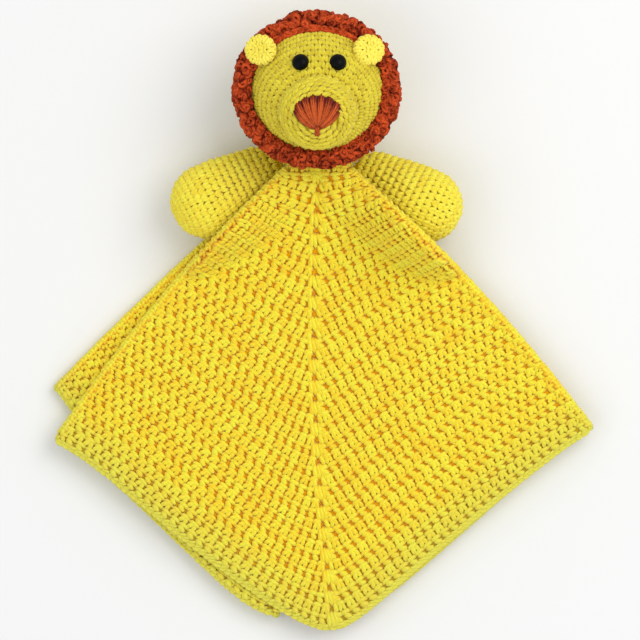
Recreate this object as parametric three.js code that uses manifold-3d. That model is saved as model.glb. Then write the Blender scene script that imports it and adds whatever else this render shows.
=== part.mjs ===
import * as THREE from "three";
import { mergeVertices } from "three/addons/utils/BufferGeometryUtils.js";
import Module from "manifold-3d";

// Crocheted lion comfort blanket, lying on its back: +X to the picture's right,
// +Y from the blanket to the crown, +Z up from the surface it lies on. Millimetres.

const wasm = await Module();
wasm.setup();

// Clearances
const seatGap = 0.3;
const cutOverrun = 4;
const degree = Math.PI / 180;

// Head ball
const headHalfWidth = 42;
const headHalfHeight = 39.5;
const headHalfDepth = 40.5;
const neckToHead = 43.4;
const restingFlat = 0.5;
const coverWall = 3;
const neckOpeningRadius = 11;
const neckTilt = 30 * degree;

// Muzzle dome
const muzzleHalfWidth = 21.7;
const muzzleHalfHeight = 21.5;
const muzzleHalfDepth = 14;
const muzzleTilt = 23 * degree;
const muzzleSink = 2;
const muzzleWall = 2.6;
const muzzleSeamYarn = 1.5;

// Nose and mouth, stitched on the muzzle
const noseHeight = 15;
const noseHalfAngle = 80 * degree;
const noseShoulderShare = 0.72;
const noseCheekShare = 0.98;
const noseThickness = 1.9;
const noseRimShare = 0.5;
const noseRootShare = 0.14;
const noseStitches = 9;
const noseStitchRelief = 0.5;
const noseScallop = 1.5;
const noseFootDrop = 4.1;
const noseTipDrop = 6.2;
const mouthLength = 5.8;
const mouthYarn = 2.8;

// Safety eyes
const eyeRadius = 5;
const eyeDomeHeight = 4.2;
const eyeSpacing = 22.2;
const eyeRise = 16.2;
const eyePostRadius = 1.6;
const eyePostLength = 11;
const washerRadius = 6;
const washerThickness = 1.2;

// Ears
const earRadius = 9.4;
const earThickness = 4.6;
const earOffsetShare = 0.79;
const earRiseShare = 0.6456;
const earAboveMane = 13;
const earLean = 24 * degree;
const earYarn = 1.5;
const earSeamSpread = 35 * degree;
const earProfileShares = [
  [0, -1],
  [0.8, -1],
  [0.96, -0.6],
  [1, 0],
  [0.93, 0.8],
  [0.75, 1],
  [0.35, 0.35],
  [0, 0.2],
];

// Mane ring of curls
const maneCurls = 31;
const maneStandWide = 4;
const maneStandHigh = 3.1;
const maneAboveMiddle = 12.5;
const maneThickness = 6.7;
const maneDepth = 7.5;
const maneCurlRelief = 1.9;
const maneTwist = 1;

// Arms
const armHandRadius = 22;
const armHandHalfDepth = 17.6;
const armRootHalfWidth = 15.5;
const armRootHalfDepth = 5.6;
const armReach = 36.5;
const armLeftX = -35;
const armLeftY = -8.5;
const armLeftAngle = 25.5 * degree;
const armRightX = 34;
const armRightY = -11.5;
const armRightAngle = 24 * degree;
const armWall = 2.8;
const armMouthShare = 0.6;
const armTipShare = 0.07;
const armSeamYarn = 1.6;
const armSeamSpread = 28 * degree;

// Blanket: a square from its centre, folded in quarters
const clothThickness = 3;
const clothPitch = 3.8;
const foldBulge = 2.1;
const neckHalfWidth = 18;
const neckEdge = -7;
const blanketReach = 289.5;
const frontLeftShares = [-0.5544, -0.5907];
const frontTipShares = [0.0328, -0.9931];
const frontRightShares = [0.5699, -0.5648];
const backLeftShares = [-0.5527, -0.494];
const backTipShares = [0.0207, -0.981];
const backRightShares = [0.5285, -0.5786];
const leftFlapTipShares = [-0.114, -0.9551];
const rightFlapTipShares = [0.1036, -0.9513];
const frontFoldCurve = 4.3;
const backFoldCurve = 1.2;
const foldCurvePower = 3;
const frontEdgeSwell = 4.5;
const cornerRounding = 3;
const cornerPower = 12;
const neckCrowding = 1.6;
const tentHeight = 6.5;
const tentLength = 62;
const tentReach = 20;
const tentClearance = 3;
const layerEase = 0.9;
const neckRise = 9;
const edgeWave = 1.6;
const edgeWaves = 3;
const stumpRadius = 13.5;
const stumpRoundness = 0.6;
const neckSeamYarn = 2;
const yarnTipShare = 0.33;

// Yarn colours
const yarnYellow = "#e6cf3e";
const blanketYellow = "#eccb30";
const yarnRust = "#a8401c";
const yarnNose = "#b8502a";
const stuffingWhite = "#f2efe6";
const eyeBlack = "#141619";
const washerWhite = "#e8e8e4";

const finish = (color, roughness, metalness) =>
  new THREE.MeshStandardMaterial({ color, roughness, metalness });

// A closed geometry becomes a solid
function solidOf(geometry) {
  const bare = geometry.clone();
  bare.deleteAttribute("normal");
  bare.deleteAttribute("uv");
  const merged = mergeVertices(bare, 1e-4);
  return new wasm.Manifold(
    new wasm.Mesh({
      numProp: 3,
      vertProperties: merged.attributes.position.array,
      triVerts: new Uint32Array(merged.index.array),
    }),
  );
}

// A solid becomes a named mesh
function meshOf(name, solid, material) {
  const made = solid.getMesh();
  const stride = made.numProp;
  const points = new Float32Array(made.numVert * 3);
  for (let i = 0; i < made.numVert; i++) {
    points.set(made.vertProperties.subarray(i * stride, i * stride + 3), i * 3);
  }
  const geometry = new THREE.BufferGeometry();
  geometry.setAttribute("position", new THREE.BufferAttribute(points, 3));
  geometry.setIndex(new THREE.BufferAttribute(made.triVerts, 1));
  geometry.computeVertexNormals();
  const mesh = new THREE.Mesh(geometry, material);
  mesh.name = name;
  return mesh;
}

// Points and faces of a closed skin become a solid, whichever way its faces run
function closed(points, faces) {
  const geometry = new THREE.BufferGeometry();
  geometry.setAttribute("position", new THREE.Float32BufferAttribute(points, 3));
  geometry.setIndex(faces);
  const solid = solidOf(geometry);
  if (solid.volume() >= 0) return solid;
  for (let i = 0; i < faces.length; i += 3) {
    [faces[i + 1], faces[i + 2]] = [faces[i + 2], faces[i + 1]];
  }
  geometry.setIndex(faces);
  return solidOf(geometry);
}

// Rings of points, joined in order, closed at both ends or round on themselves
function loft(rings, looped = false) {
  const count = rings[0].length;
  const points = rings.flat().flatMap((p) => [p.x, p.y, p.z]);
  const faces = [];
  const bands = looped ? rings.length : rings.length - 1;
  for (let i = 0; i < bands; i++) {
    const a = i * count;
    const b = ((i + 1) % rings.length) * count;
    for (let j = 0; j < count; j++) {
      const k = (j + 1) % count;
      faces.push(a + j, a + k, b + k, a + j, b + k, b + j);
    }
  }
  if (!looped) {
    const last = (rings.length - 1) * count;
    for (const [ring, base, turn] of [[rings[0], 0, 1], [rings.at(-1), last, 0]]) {
      const middle = new THREE.Vector3();
      ring.forEach((p) => middle.add(p));
      middle.divideScalar(count);
      const hub = points.length / 3;
      points.push(middle.x, middle.y, middle.z);
      for (let j = 0; j < count; j++) {
        const k = (j + 1) % count;
        if (turn) faces.push(hub, base + k, base + j);
        else faces.push(hub, base + j, base + k);
      }
    }
  }
  return closed(points, faces);
}

// An ellipsoid turned about X, with its height at any plan point
class Ellipsoid {
  constructor(centre, halves, tilt) {
    this.centre = centre;
    this.halves = halves;
    this.turn = new THREE.Matrix4().makeRotationX(tilt);
    this.back = new THREE.Matrix4().makeRotationX(-tilt);
  }

  solid(grow = 0, around = 32, along = 18) {
    const ball = new THREE.SphereGeometry(1, around, along);
    ball.rotateX(Math.PI / 2);
    ball.scale(this.halves.x + grow, this.halves.y + grow, this.halves.z + grow);
    ball.applyMatrix4(this.turn);
    ball.translate(this.centre.x, this.centre.y, this.centre.z);
    return solidOf(ball);
  }

  // Height of the upper surface over a plan point, grown outward
  top(x, y, grow = 0) {
    const start = new THREE.Vector3(x, y, 0).sub(this.centre).applyMatrix4(this.back);
    const way = new THREE.Vector3(0, 0, 1).applyMatrix4(this.back);
    const size = this.halves.clone().addScalar(grow);
    const p = start.divide(size);
    const d = way.divide(size);
    const a = d.dot(d);
    const b = 2 * p.dot(d);
    const c = p.dot(p) - 1;
    const inside = Math.max(0, b * b - 4 * a * c);
    return (-b + Math.sqrt(inside)) / (2 * a);
  }

  // The point itself, or where it is pushed out to when it lies inside the grown skin
  outside(point, grow) {
    const size = this.halves.clone().addScalar(grow);
    const local = point.clone().sub(this.centre).applyMatrix4(this.back);
    const depth = local.clone().divide(size).length();
    if (depth >= 1) return point;
    return local.divideScalar(depth).applyMatrix4(this.turn).add(this.centre);
  }

  // Point and outward direction of the surface over a plan point
  seat(x, y, grow = 0) {
    const z = this.top(x, y, grow);
    const point = new THREE.Vector3(x, y, z);
    const local = point.clone().sub(this.centre).applyMatrix4(this.back);
    const size = this.halves.clone().addScalar(grow);
    const out = local.divide(size).divide(size).applyMatrix4(this.turn).normalize();
    return { point, out };
  }
}

const headCentre = new THREE.Vector3(0, neckToHead, headHalfDepth - restingFlat);
const headHalves = new THREE.Vector3(headHalfWidth, headHalfHeight, headHalfDepth);
const head = new Ellipsoid(headCentre, headHalves, 0);

const maneHalfWidth = headHalfWidth + maneStandWide;
const maneHalfHeight = headHalfHeight + maneStandHigh;
const maneHeight = headCentre.z + maneAboveMiddle;

const muzzleOut = new THREE.Vector3(0, -Math.sin(muzzleTilt), Math.cos(muzzleTilt));
const muzzleCentre = headCentre.clone().add(
  new THREE.Vector3(
    0,
    -(headHalfHeight - muzzleSink) * Math.sin(muzzleTilt),
    (headHalfDepth - muzzleSink) * Math.cos(muzzleTilt),
  ),
);
const muzzleHalves = new THREE.Vector3(muzzleHalfWidth, muzzleHalfHeight, muzzleHalfDepth);
const muzzle = new Ellipsoid(muzzleCentre, muzzleHalves, muzzleTilt);

const neckOut = new THREE.Vector3(0, -Math.cos(neckTilt), -Math.sin(neckTilt));
const neckSeat = headCentre.clone().add(
  new THREE.Vector3(
    0,
    -headHalfHeight * Math.cos(neckTilt),
    -headHalfDepth * Math.sin(neckTilt),
  ),
);

// A solid turned from a profile, its axis laid along a direction from a point
function turned(profile, point, out, around) {
  const geometry = new THREE.LatheGeometry(
    profile.map(([r, h]) => new THREE.Vector2(r, h)),
    around,
  );
  const up = new THREE.Vector3(0, 1, 0);
  geometry.applyQuaternion(new THREE.Quaternion().setFromUnitVectors(up, out));
  geometry.translate(point.x, point.y, point.z);
  return closed(Array.from(geometry.attributes.position.array), Array.from(geometry.index.array));
}

const rod = (radius, from, to, point, out, around = 20) =>
  turned([[0, from], [radius, from], [radius, to], [0, to]], point, out, around);

// A yarn that follows a closed ring of points
function yarnRing(points, thickness, sides = 6) {
  const rings = points.map((p, i) => {
    const before = points.at(i - 1);
    const after = points[(i + 1) % points.length];
    const along = after.clone().sub(before).normalize();
    const side = new THREE.Vector3(0, 0, 1).cross(along).normalize();
    const lift = along.clone().cross(side).normalize();
    return Array.from({ length: sides }, (_, j) => {
      const turn = (2 * Math.PI * j) / sides;
      return p
        .clone()
        .addScaledVector(side, (Math.cos(turn) * thickness) / 2)
        .addScaledVector(lift, (Math.sin(turn) * thickness) / 2);
    });
  });
  return loft(rings, true);
}

// A yarn that follows an open run of points, rounded off at its ends
function yarnRun(points, thickness, up, sides = 8) {
  const rings = points.map((p, i) => {
    const before = points[Math.max(0, i - 1)];
    const after = points[Math.min(points.length - 1, i + 1)];
    const along = after.clone().sub(before).normalize();
    const side = up.clone().cross(along).normalize();
    const lift = along.clone().cross(side).normalize();
    const last = points.length - 1;
    const share = i === 0 || i === last ? yarnTipShare : 1;
    return Array.from({ length: sides }, (_, j) => {
      const turn = (2 * Math.PI * j) / sides;
      return p
        .clone()
        .addScaledVector(side, (share * Math.cos(turn) * thickness) / 2)
        .addScaledVector(lift, (share * Math.sin(turn) * thickness) / 2);
    });
  });
  return loft(rings);
}

// What lies under the supporting surface
function belowFloor() {
  const wide = 4 * headHalfWidth;
  const box = new THREE.BoxGeometry(wide, wide, wide);
  box.translate(0, neckToHead, -wide / 2);
  return solidOf(box);
}

// Eyes: a dome on a post, held inside the cover by a washer
const eyeSeats = [-1, 1].map((side) =>
  head.seat((side * eyeSpacing) / 2, neckToHead + eyeRise, seatGap),
);

function eye(seat) {
  const dome = [[0, eyeDomeHeight]];
  const domeSteps = 6;
  for (let i = 1; i <= domeSteps; i++) {
    const turn = (i / domeSteps) * (Math.PI / 2);
    dome.push([eyeRadius * Math.sin(turn), eyeDomeHeight * Math.cos(turn)]);
  }
  dome.push([eyePostRadius, 0], [eyePostRadius, -eyePostLength], [0, -eyePostLength]);
  return turned(dome, seat.point, seat.out, 20);
}

const washerSag = (washerRadius * washerRadius) / (2 * (headHalfHeight - coverWall));
const washerDepth = coverWall + 3 * seatGap + washerSag;

function washer(seat) {
  const bore = eyePostRadius + seatGap;
  const top = -washerDepth;
  const foot = top - washerThickness;
  return turned(
    [[bore, foot], [washerRadius, foot], [washerRadius, top], [bore, top], [bore, foot]],
    seat.point,
    seat.out,
    18,
  );
}

// The head's cover: a hollow ball, open at the neck and holed for the eye posts
function headCover() {
  let cover = head.solid().subtract(head.solid(-coverWall, 20, 12));
  cover = cover.subtract(
    rod(neckOpeningRadius, -2 * coverWall - cutOverrun, cutOverrun, neckSeat, neckOut),
  );
  for (const seat of eyeSeats) {
    const bore = eyePostRadius + seatGap;
    const deep = -coverWall - cutOverrun;
    cover = cover.subtract(rod(bore, deep, cutOverrun, seat.point, seat.out));
  }
  return cover.subtract(belowFloor());
}

// The stuffing follows the inside of the cover and makes room for posts and washers
function headFilling() {
  let filling = head.solid(-coverWall - seatGap, 20, 12);
  for (const seat of eyeSeats) {
    const post = eyePostLength + seatGap;
    filling = filling.subtract(
      rod(eyePostRadius + 2 * seatGap, -post, cutOverrun, seat.point, seat.out),
    );
    const pocket = washerDepth + washerThickness + seatGap;
    filling = filling.subtract(
      rod(washerRadius + seatGap, -pocket, cutOverrun, seat.point, seat.out),
    );
  }
  return filling;
}

function muzzleCover() {
  return muzzle
    .solid(0, 28, 14)
    .subtract(muzzle.solid(-muzzleWall, 20, 10))
    .subtract(head.solid(seatGap));
}

function muzzleFilling() {
  return muzzle.solid(-muzzleWall - seatGap, 20, 10).subtract(head.solid(2 * seatGap));
}

// The yarn that sews the muzzle down lies in the corner between dome and face
function muzzleSeam() {
  const count = 40;
  const points = [];
  for (let i = 0; i < count; i++) {
    const turn = (2 * Math.PI * i) / count;
    const reach = muzzleSeamReach(turn);
    const x = muzzleCentre.x + reach * Math.cos(turn);
    const y = muzzleCentre.y + reach * Math.sin(turn);
    const rise = seatGap + muzzleSeamYarn / 2;
    const seat = head.seat(x, y, rise);
    points.push(seat.point);
  }
  return yarnRing(points, muzzleSeamYarn);
}

// How far out the dome's skin stays clear of the seam yarn, along a plan direction
function muzzleSeamReach(turn) {
  const rise = seatGap + muzzleSeamYarn / 2;
  const step = muzzleSeamYarn / 8;
  let reach = muzzleHalfHeight / 2;
  const clear = (r) => {
    const x = muzzleCentre.x + r * Math.cos(turn);
    const y = muzzleCentre.y + r * Math.sin(turn);
    const p = head.seat(x, y, rise).point.clone();
    const local = p.sub(muzzleCentre).applyMatrix4(muzzle.back);
    local.divide(muzzleHalves.clone().addScalar(rise + seatGap / 2));
    return local.lengthSq() > 1;
  };
  while (!clear(reach) && reach < 2 * muzzleHalfWidth) reach += step;
  return reach;
}

// Two grids of points, one over the other, closed along their rims
function slab(over, under) {
  const rows = over.length;
  const columns = over[0].length;
  const points = [...over.flat(), ...under.flat()].flatMap((p) => [p.x, p.y, p.z]);
  const faces = [];
  const at = (i, j, low) => i * columns + j + (low ? rows * columns : 0);
  const quad = (a, b, c, d) => faces.push(a, b, c, a, c, d);
  for (let i = 0; i + 1 < rows; i++) {
    for (let j = 0; j + 1 < columns; j++) {
      quad(at(i, j), at(i, j + 1), at(i + 1, j + 1), at(i + 1, j));
      quad(at(i + 1, j, 1), at(i + 1, j + 1, 1), at(i, j + 1, 1), at(i, j, 1));
    }
    const last = columns - 1;
    quad(at(i + 1, 0), at(i + 1, 0, 1), at(i, 0, 1), at(i, 0));
    quad(at(i, last), at(i, last, 1), at(i + 1, last, 1), at(i + 1, last));
  }
  for (let j = 0; j + 1 < columns; j++) {
    const last = rows - 1;
    quad(at(0, j), at(0, j, 1), at(0, j + 1, 1), at(0, j + 1));
    quad(at(last, j + 1), at(last, j + 1, 1), at(last, j, 1), at(last, j));
  }
  return closed(points, faces);
}

const noseFootY = muzzleCentre.y - noseFootDrop;
const noseTipY = noseFootY - noseTipDrop;

// Nose: a fan of satin stitches whose feet draw together in a point
function nose() {
  const across = 2 * noseStitches;
  const along = 4;
  const under = [];
  const over = [];
  for (let i = 0; i <= along; i++) {
    const share = noseRootShare + ((1 - noseRootShare) * i) / along;
    const lower = [];
    const upper = [];
    for (let j = 0; j <= across; j++) {
      const spread = (j / across) * 2 - 1;
      const turn = spread * noseHalfAngle;
      const ridge = j % 2;
      const bulge = noseShoulderShare * spread * spread - noseCheekShare * Math.pow(spread, 4);
      const length = noseHeight * (1 + bulge) - noseScallop * (1 - ridge) * share;
      const x = Math.sin(turn) * length * share;
      const y = noseTipY + (noseTipDrop + Math.cos(turn) * length) * share;
      const base = muzzle.top(x, y, seatGap);
      const rim = i === 0 || i === along || j === 0 || j === across ? noseRimShare : 1;
      const thick = noseThickness * rim - noseStitchRelief * (1 - ridge) * rim;
      lower.push(new THREE.Vector3(x, y, base));
      upper.push(new THREE.Vector3(x, y, base + thick));
    }
    under.push(lower);
    over.push(upper);
  }
  return slab(over, under);
}

function mouth() {
  const top = noseTipY - seatGap;
  const steps = 4;
  const points = [];
  for (let i = 0; i <= steps; i++) {
    const y = top - (mouthLength * i) / steps;
    const z = muzzle.top(0, y, seatGap + mouthYarn / 2);
    points.push(new THREE.Vector3(0, y, z));
  }
  return yarnRun(points, mouthYarn, new THREE.Vector3(0, 0, 1));
}

// Ears: thick discs that lean back over the mane, their feet shaped to the head
function earPlace(side) {
  const centre = new THREE.Vector3(
    side * earOffsetShare * headHalfWidth,
    neckToHead + earRiseShare * headHalfHeight,
    maneHeight + earAboveMane,
  );
  const out = new THREE.Vector3(side * Math.sin(earLean), 0, Math.cos(earLean));
  return { centre, out };
}

function ear(side) {
  const { centre, out } = earPlace(side);
  const half = earThickness / 2;
  const profile = earProfileShares.map(([wide, high]) => [wide * earRadius, high * half]);
  return turned(profile, centre, out, 24).subtract(head.solid(seatGap));
}

// The place on the head nearest the ear's rim that its sewing yarn still clears
function earFoot(side, turn) {
  const { centre, out } = earPlace(side);
  const rise = earYarn / 2 + seatGap;
  const step = seatGap / 2;
  let place = null;
  let least = Infinity;
  for (let reach = earRadius * Math.cos(earLean); reach < 2 * earRadius; reach += step) {
    const x = centre.x + Math.cos(turn) * reach;
    const y = centre.y + Math.sin(turn) * reach;
    const { point } = head.seat(x, y, rise);
    const from = point.clone().sub(centre);
    const high = from.dot(out);
    const wide = from.addScaledVector(out, -high).length();
    const aside = Math.max(0, wide - earRadius);
    const away = Math.hypot(aside, Math.max(0, Math.abs(high) - earThickness / 2));
    if (away < rise + step || away >= least) continue;
    least = away;
    place = point;
  }
  return place;
}

// The ear's sewing yarn lies along its foot on the head
function earSeam(side) {
  const { centre } = earPlace(side);
  const inward = new THREE.Vector2(centre.x, centre.y - neckToHead).negate().normalize();
  const steps = 6;
  const points = [];
  for (let i = 0; i <= steps; i++) {
    const spread = ((i / steps) * 2 - 1) * earSeamSpread;
    const turn = Math.atan2(inward.y, inward.x) + spread;
    points.push(earFoot(side, turn));
  }
  return yarnRun(points, earYarn, new THREE.Vector3(0, 0, 1), 6);
}

// Mane: a ring whose section is ridged like curls that run slantwise round it
function mane() {
  const perCurl = 4;
  const around = maneCurls * perCurl;
  const sides = 8;
  const rings = [];
  for (let i = 0; i < around; i++) {
    const turn = (2 * Math.PI * i) / around;
    const x = maneHalfWidth * Math.cos(turn);
    const y = neckToHead + maneHalfHeight * Math.sin(turn);
    const out = new THREE.Vector3(Math.cos(turn), Math.sin(turn), 0);
    const ring = [];
    for (let j = 0; j < sides; j++) {
      const roll = (2 * Math.PI * j) / sides;
      const curl = 0.5 + 0.5 * Math.cos(maneCurls * turn + maneTwist * roll);
      const wide = maneThickness - maneCurlRelief * (1 - curl);
      const deep = maneDepth - maneCurlRelief * (1 - curl);
      const point = new THREE.Vector3(x, y, maneHeight)
        .addScaledVector(out, Math.cos(roll) * wide)
        .add(new THREE.Vector3(0, 0, Math.sin(roll) * deep));
      ring.push(head.outside(point, seatGap));
    }
    rings.push(ring);
  }
  return loft(rings, true);
}

// The arms lie on the two lower layers of the folded blanket
const armFloor = clothPitch + clothThickness + seatGap;

// Arms: a flattened root that swells to a round hand
class Arm {
  constructor(side, x, y, angle) {
    this.side = side;
    this.pivot = new THREE.Vector3(x, y, 0);
    this.along = new THREE.Vector3(side * Math.cos(angle), -Math.sin(angle), 0);
    this.across = new THREE.Vector3(-this.along.y, this.along.x, 0).multiplyScalar(side);
  }

  // Half width, half depth and centre height at a distance from the pivot
  section(s) {
    const share = THREE.MathUtils.smoothstep(s, -armRootHalfWidth, armReach);
    const wide = THREE.MathUtils.lerp(armRootHalfWidth, armHandRadius, share);
    const deep = THREE.MathUtils.lerp(armRootHalfDepth, armHandHalfDepth, share);
    const low = armFloor + deep;
    return { wide, deep, low };
  }

  // Highest point of the arm on its own line, at a distance from the pivot
  crest(s) {
    const { deep, low } = this.section(THREE.MathUtils.clamp(s, -armRootHalfWidth, armReach));
    return low + deep;
  }

  solid(shrink, around = 20, steps = 8) {
    const rings = [];
    const push = (s, scale) => {
      const { wide, deep, low } = this.section(s);
      const ring = [];
      for (let j = 0; j < around; j++) {
        const turn = (2 * Math.PI * j) / around;
        ring.push(
          this.pivot
            .clone()
            .addScaledVector(this.along, s)
            .addScaledVector(this.across, Math.cos(turn) * (wide - shrink) * scale)
            .add(new THREE.Vector3(0, 0, low + Math.sin(turn) * (deep - shrink) * scale)),
        );
      }
      rings.push(ring);
    };
    const capSteps = 5;
    const capTurn = (i) => (armTipShare + ((1 - armTipShare) * i) / capSteps) * (Math.PI / 2);
    for (let i = 0; i < capSteps; i++) {
      push(-(armRootHalfWidth - shrink) * Math.cos(capTurn(i)), Math.sin(capTurn(i)));
    }
    for (let i = 0; i <= steps; i++) push((armReach * i) / steps, 1);
    for (let i = capSteps - 1; i >= 0; i--) {
      push(armReach + (armHandRadius - shrink) * Math.cos(capTurn(i)), Math.sin(capTurn(i)));
    }
    return loft(rings);
  }

  // The cover is open at its sewn root
  cover() {
    const mouthHigh = armMouthShare * armRootHalfDepth;
    const slot = new THREE.BoxGeometry(2 * cutOverrun, armRootHalfWidth, mouthHigh);
    slot.rotateZ(Math.atan2(this.along.y, this.along.x));
    const root = this.pivot.clone().addScaledVector(this.along, -armRootHalfWidth);
    slot.translate(root.x, root.y, armFloor + armRootHalfDepth);
    return this.solid(0).subtract(this.solid(armWall, 16, 7)).subtract(solidOf(slot));
  }

  filling() {
    return this.solid(armWall + seatGap, 16, 7);
  }

  // The sewing yarn runs along the flat root
  seam(grow = 0) {
    const steps = 6;
    const points = [];
    const reach = armRootHalfWidth + seatGap + armSeamYarn / 2;
    for (let i = 0; i <= steps; i++) {
      const turn = ((i / steps) * 2 - 1) * armSeamSpread;
      points.push(
        this.pivot
          .clone()
          .addScaledVector(this.along, -Math.cos(turn) * reach)
          .addScaledVector(this.across, Math.sin(turn) * reach)
          .add(new THREE.Vector3(0, 0, armFloor + armRootHalfDepth)),
      );
    }
    return yarnRun(points, armSeamYarn + 2 * grow, new THREE.Vector3(0, 0, 1), 6);
  }

  // How far cloth is lifted off the under layers to pass over the arm at a plan point
  cloth(x, y) {
    const from = new THREE.Vector3(x, y, 0).sub(this.pivot);
    const s = from.dot(this.along);
    const n = from.dot(this.across);
    const { wide } = this.section(THREE.MathUtils.clamp(s, -armRootHalfWidth, armReach));
    const side = Math.abs(n) / (wide + tentReach);
    const before = Math.max(0, -armRootHalfWidth - s) / tentReach;
    const past = Math.max(0, s - armReach - armHandRadius) / tentReach;
    const near = Math.max(0, 1 - side * side - before * before - past * past);
    const lift = this.crest(s) + tentClearance - 2 * clothPitch;
    return lift * near * near * (3 - 2 * near);
  }
}

const leftArm = new Arm(-1, armLeftX, armLeftY, armLeftAngle);
const rightArm = new Arm(1, armRightX, armRightY, armRightAngle);

// One quarter of the folded square: from the gathered neck out to its free edge
class Quarter {
  constructor(left, tip, right, foldCurve, edgeSwell = 0) {
    this.left = left;
    this.tip = tip;
    this.right = right;
    this.foldCurve = foldCurve;
    this.edgeSwell = edgeSwell;
  }

  // Plan point at a share across (0 left fold, 1 right fold) and out (0 neck, 1 edge)
  at(across, out, inset = 0) {
    const edge = new THREE.Vector2();
    if (across < 0.5) edge.lerpVectors(this.left, this.tip, 2 * across);
    else edge.lerpVectors(this.tip, this.right, 2 * across - 1);
    const corner = Math.pow(Math.abs(2 * across - 1), cornerPower);
    const inward = edge.clone().normalize().multiplyScalar(-cornerRounding * corner);
    const swell = Math.max(0, Math.sin(2 * Math.PI * across));
    edge.add(inward).add(edge.clone().normalize().multiplyScalar(this.edgeSwell * swell));
    const neck = new THREE.Vector2((2 * across - 1) * neckHalfWidth, neckEdge);
    const place = neck.lerp(edge, out);
    const aside = Math.pow(2 * across - 1, foldCurvePower);
    const bow = this.foldCurve * Math.sin(Math.PI * out) * aside;
    place.x += bow + inset * (1 - Math.abs(2 * across - 1));
    place.y += Math.abs(bow);
    return place;
  }
}

const corner = ([x, y]) => new THREE.Vector2(x, y).multiplyScalar(blanketReach);
const front = new Quarter(
  corner(frontLeftShares),
  corner(frontTipShares),
  corner(frontRightShares),
  frontFoldCurve,
  frontEdgeSwell,
);
const back = new Quarter(
  corner(backLeftShares),
  corner(backTipShares),
  corner(backRightShares),
  backFoldCurve,
);
const flapTipLeft = corner(leftFlapTipShares);
const flapTipRight = corner(rightFlapTipShares);

// Upper and lower halves of the side quarters, folded along their own diagonals
const upperFlaps = {
  left: new Quarter(front.left, flapTipLeft, front.right, frontFoldCurve),
  right: new Quarter(front.left, flapTipRight, front.right, frontFoldCurve),
};
const lowerFlaps = {
  left: new Quarter(back.left, flapTipLeft, back.right, backFoldCurve),
  right: new Quarter(back.left, flapTipRight, back.right, backFoldCurve),
};

// Mid height of a layer at a plan point: layers 0 and 1 lie under the arms, 2 and 3 over
function layerHeight(level, x, y, out) {
  const base = clothThickness / 2 + level * clothPitch;
  if (level < 2) return base;
  const fall = Math.max(0, 1 - Math.max(0, neckEdge - y) / tentLength);
  const ridge = (tentHeight + neckRise * fall) * fall * fall * (3 - 2 * fall);
  const soft = Math.hypot(leftArm.cloth(x, y), rightArm.cloth(x, y), ridge);
  const ease = 1 + (level - 2) * (layerEase * clothPitch) / (2 * armHandHalfDepth);
  const wave = level === 3 ? edgeWave * waveAt(x, out) : 0;
  return base + soft * ease + wave;
}

// The front layer's free edge lifts a little in slow waves
function waveAt(x, out) {
  const rise = 0.5 + 0.5 * Math.sin((edgeWaves * Math.PI * x) / front.right.x);
  return rise * out * out * out;
}

// The folded square: one sheet that runs front, right flap, back, left flap and home
function foldedSheet() {
  const outSteps = 11;
  const fullSteps = 8;
  const halfSteps = 3;
  const columns = [];
  const flat = (quarter, level, from, to, steps, facing, inset = 0) => {
    for (let i = 0; i <= steps; i++) {
      const across = from + ((to - from) * i) / steps;
      columns.push((out) => {
        const p = quarter.at(across, out, inset);
        const z = layerHeight(level, p.x, p.y, out);
        const face = new THREE.Vector3(0, 0, (facing * clothThickness) / 2);
        return { mid: new THREE.Vector3(p.x, p.y, z), face };
      });
    }
  };
  const bend = (a, b, levelA, levelB, side, outward, inset = 0) => {
    columns.push((out) => {
      const p = a[0].at(a[1], out, inset);
      const q = b[0].at(b[1], out, inset);
      const x = (p.x + q.x) / 2 + side * foldBulge;
      const y = (p.y + q.y) / 2 + (outward ? foldBulge / 2 : 0);
      const za = layerHeight(levelA, p.x, p.y, out);
      const zb = layerHeight(levelB, q.x, q.y, out);
      const way = outward ? side : -side;
      const face = new THREE.Vector3((way * clothThickness) / 2, 0, 0);
      return { mid: new THREE.Vector3(x, y, (za + zb) / 2), face };
    });
  };
  const apart = foldBulge + clothThickness / 2 + seatGap;
  flat(front, 3, 0, 1, fullSteps, 1);
  bend([front, 1], [upperFlaps.right, 1], 3, 2, 1, true);
  flat(upperFlaps.right, 2, 1, 0.5, halfSteps, -1, apart);
  bend([upperFlaps.right, 0.5], [lowerFlaps.right, 0.5], 2, 1, -1, false, apart);
  flat(lowerFlaps.right, 1, 0.5, 1, halfSteps, 1, apart);
  bend([lowerFlaps.right, 1], [back, 1], 1, 0, 1, true);
  flat(back, 0, 1, 0, fullSteps, -1);
  bend([back, 0], [lowerFlaps.left, 0], 0, 1, -1, true);
  flat(lowerFlaps.left, 1, 0, 0.5, halfSteps, 1, -apart);
  bend([lowerFlaps.left, 0.5], [upperFlaps.left, 0.5], 1, 2, 1, false, -apart);
  flat(upperFlaps.left, 2, 0.5, 0, halfSteps, -1, -apart);
  bend([upperFlaps.left, 0], [front, 0], 2, 3, -1, true);
  const rings = columns.map((column) => {
    const outer = [];
    const inner = [];
    for (let i = 0; i <= outSteps; i++) {
      const out = Math.pow(i / outSteps, neckCrowding);
      const { mid, face } = column(out);
      outer.push(mid.clone().add(face));
      inner.push(mid.clone().sub(face));
    }
    return [...outer, ...inner.reverse()];
  });
  return loft(rings, true);
}

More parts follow.
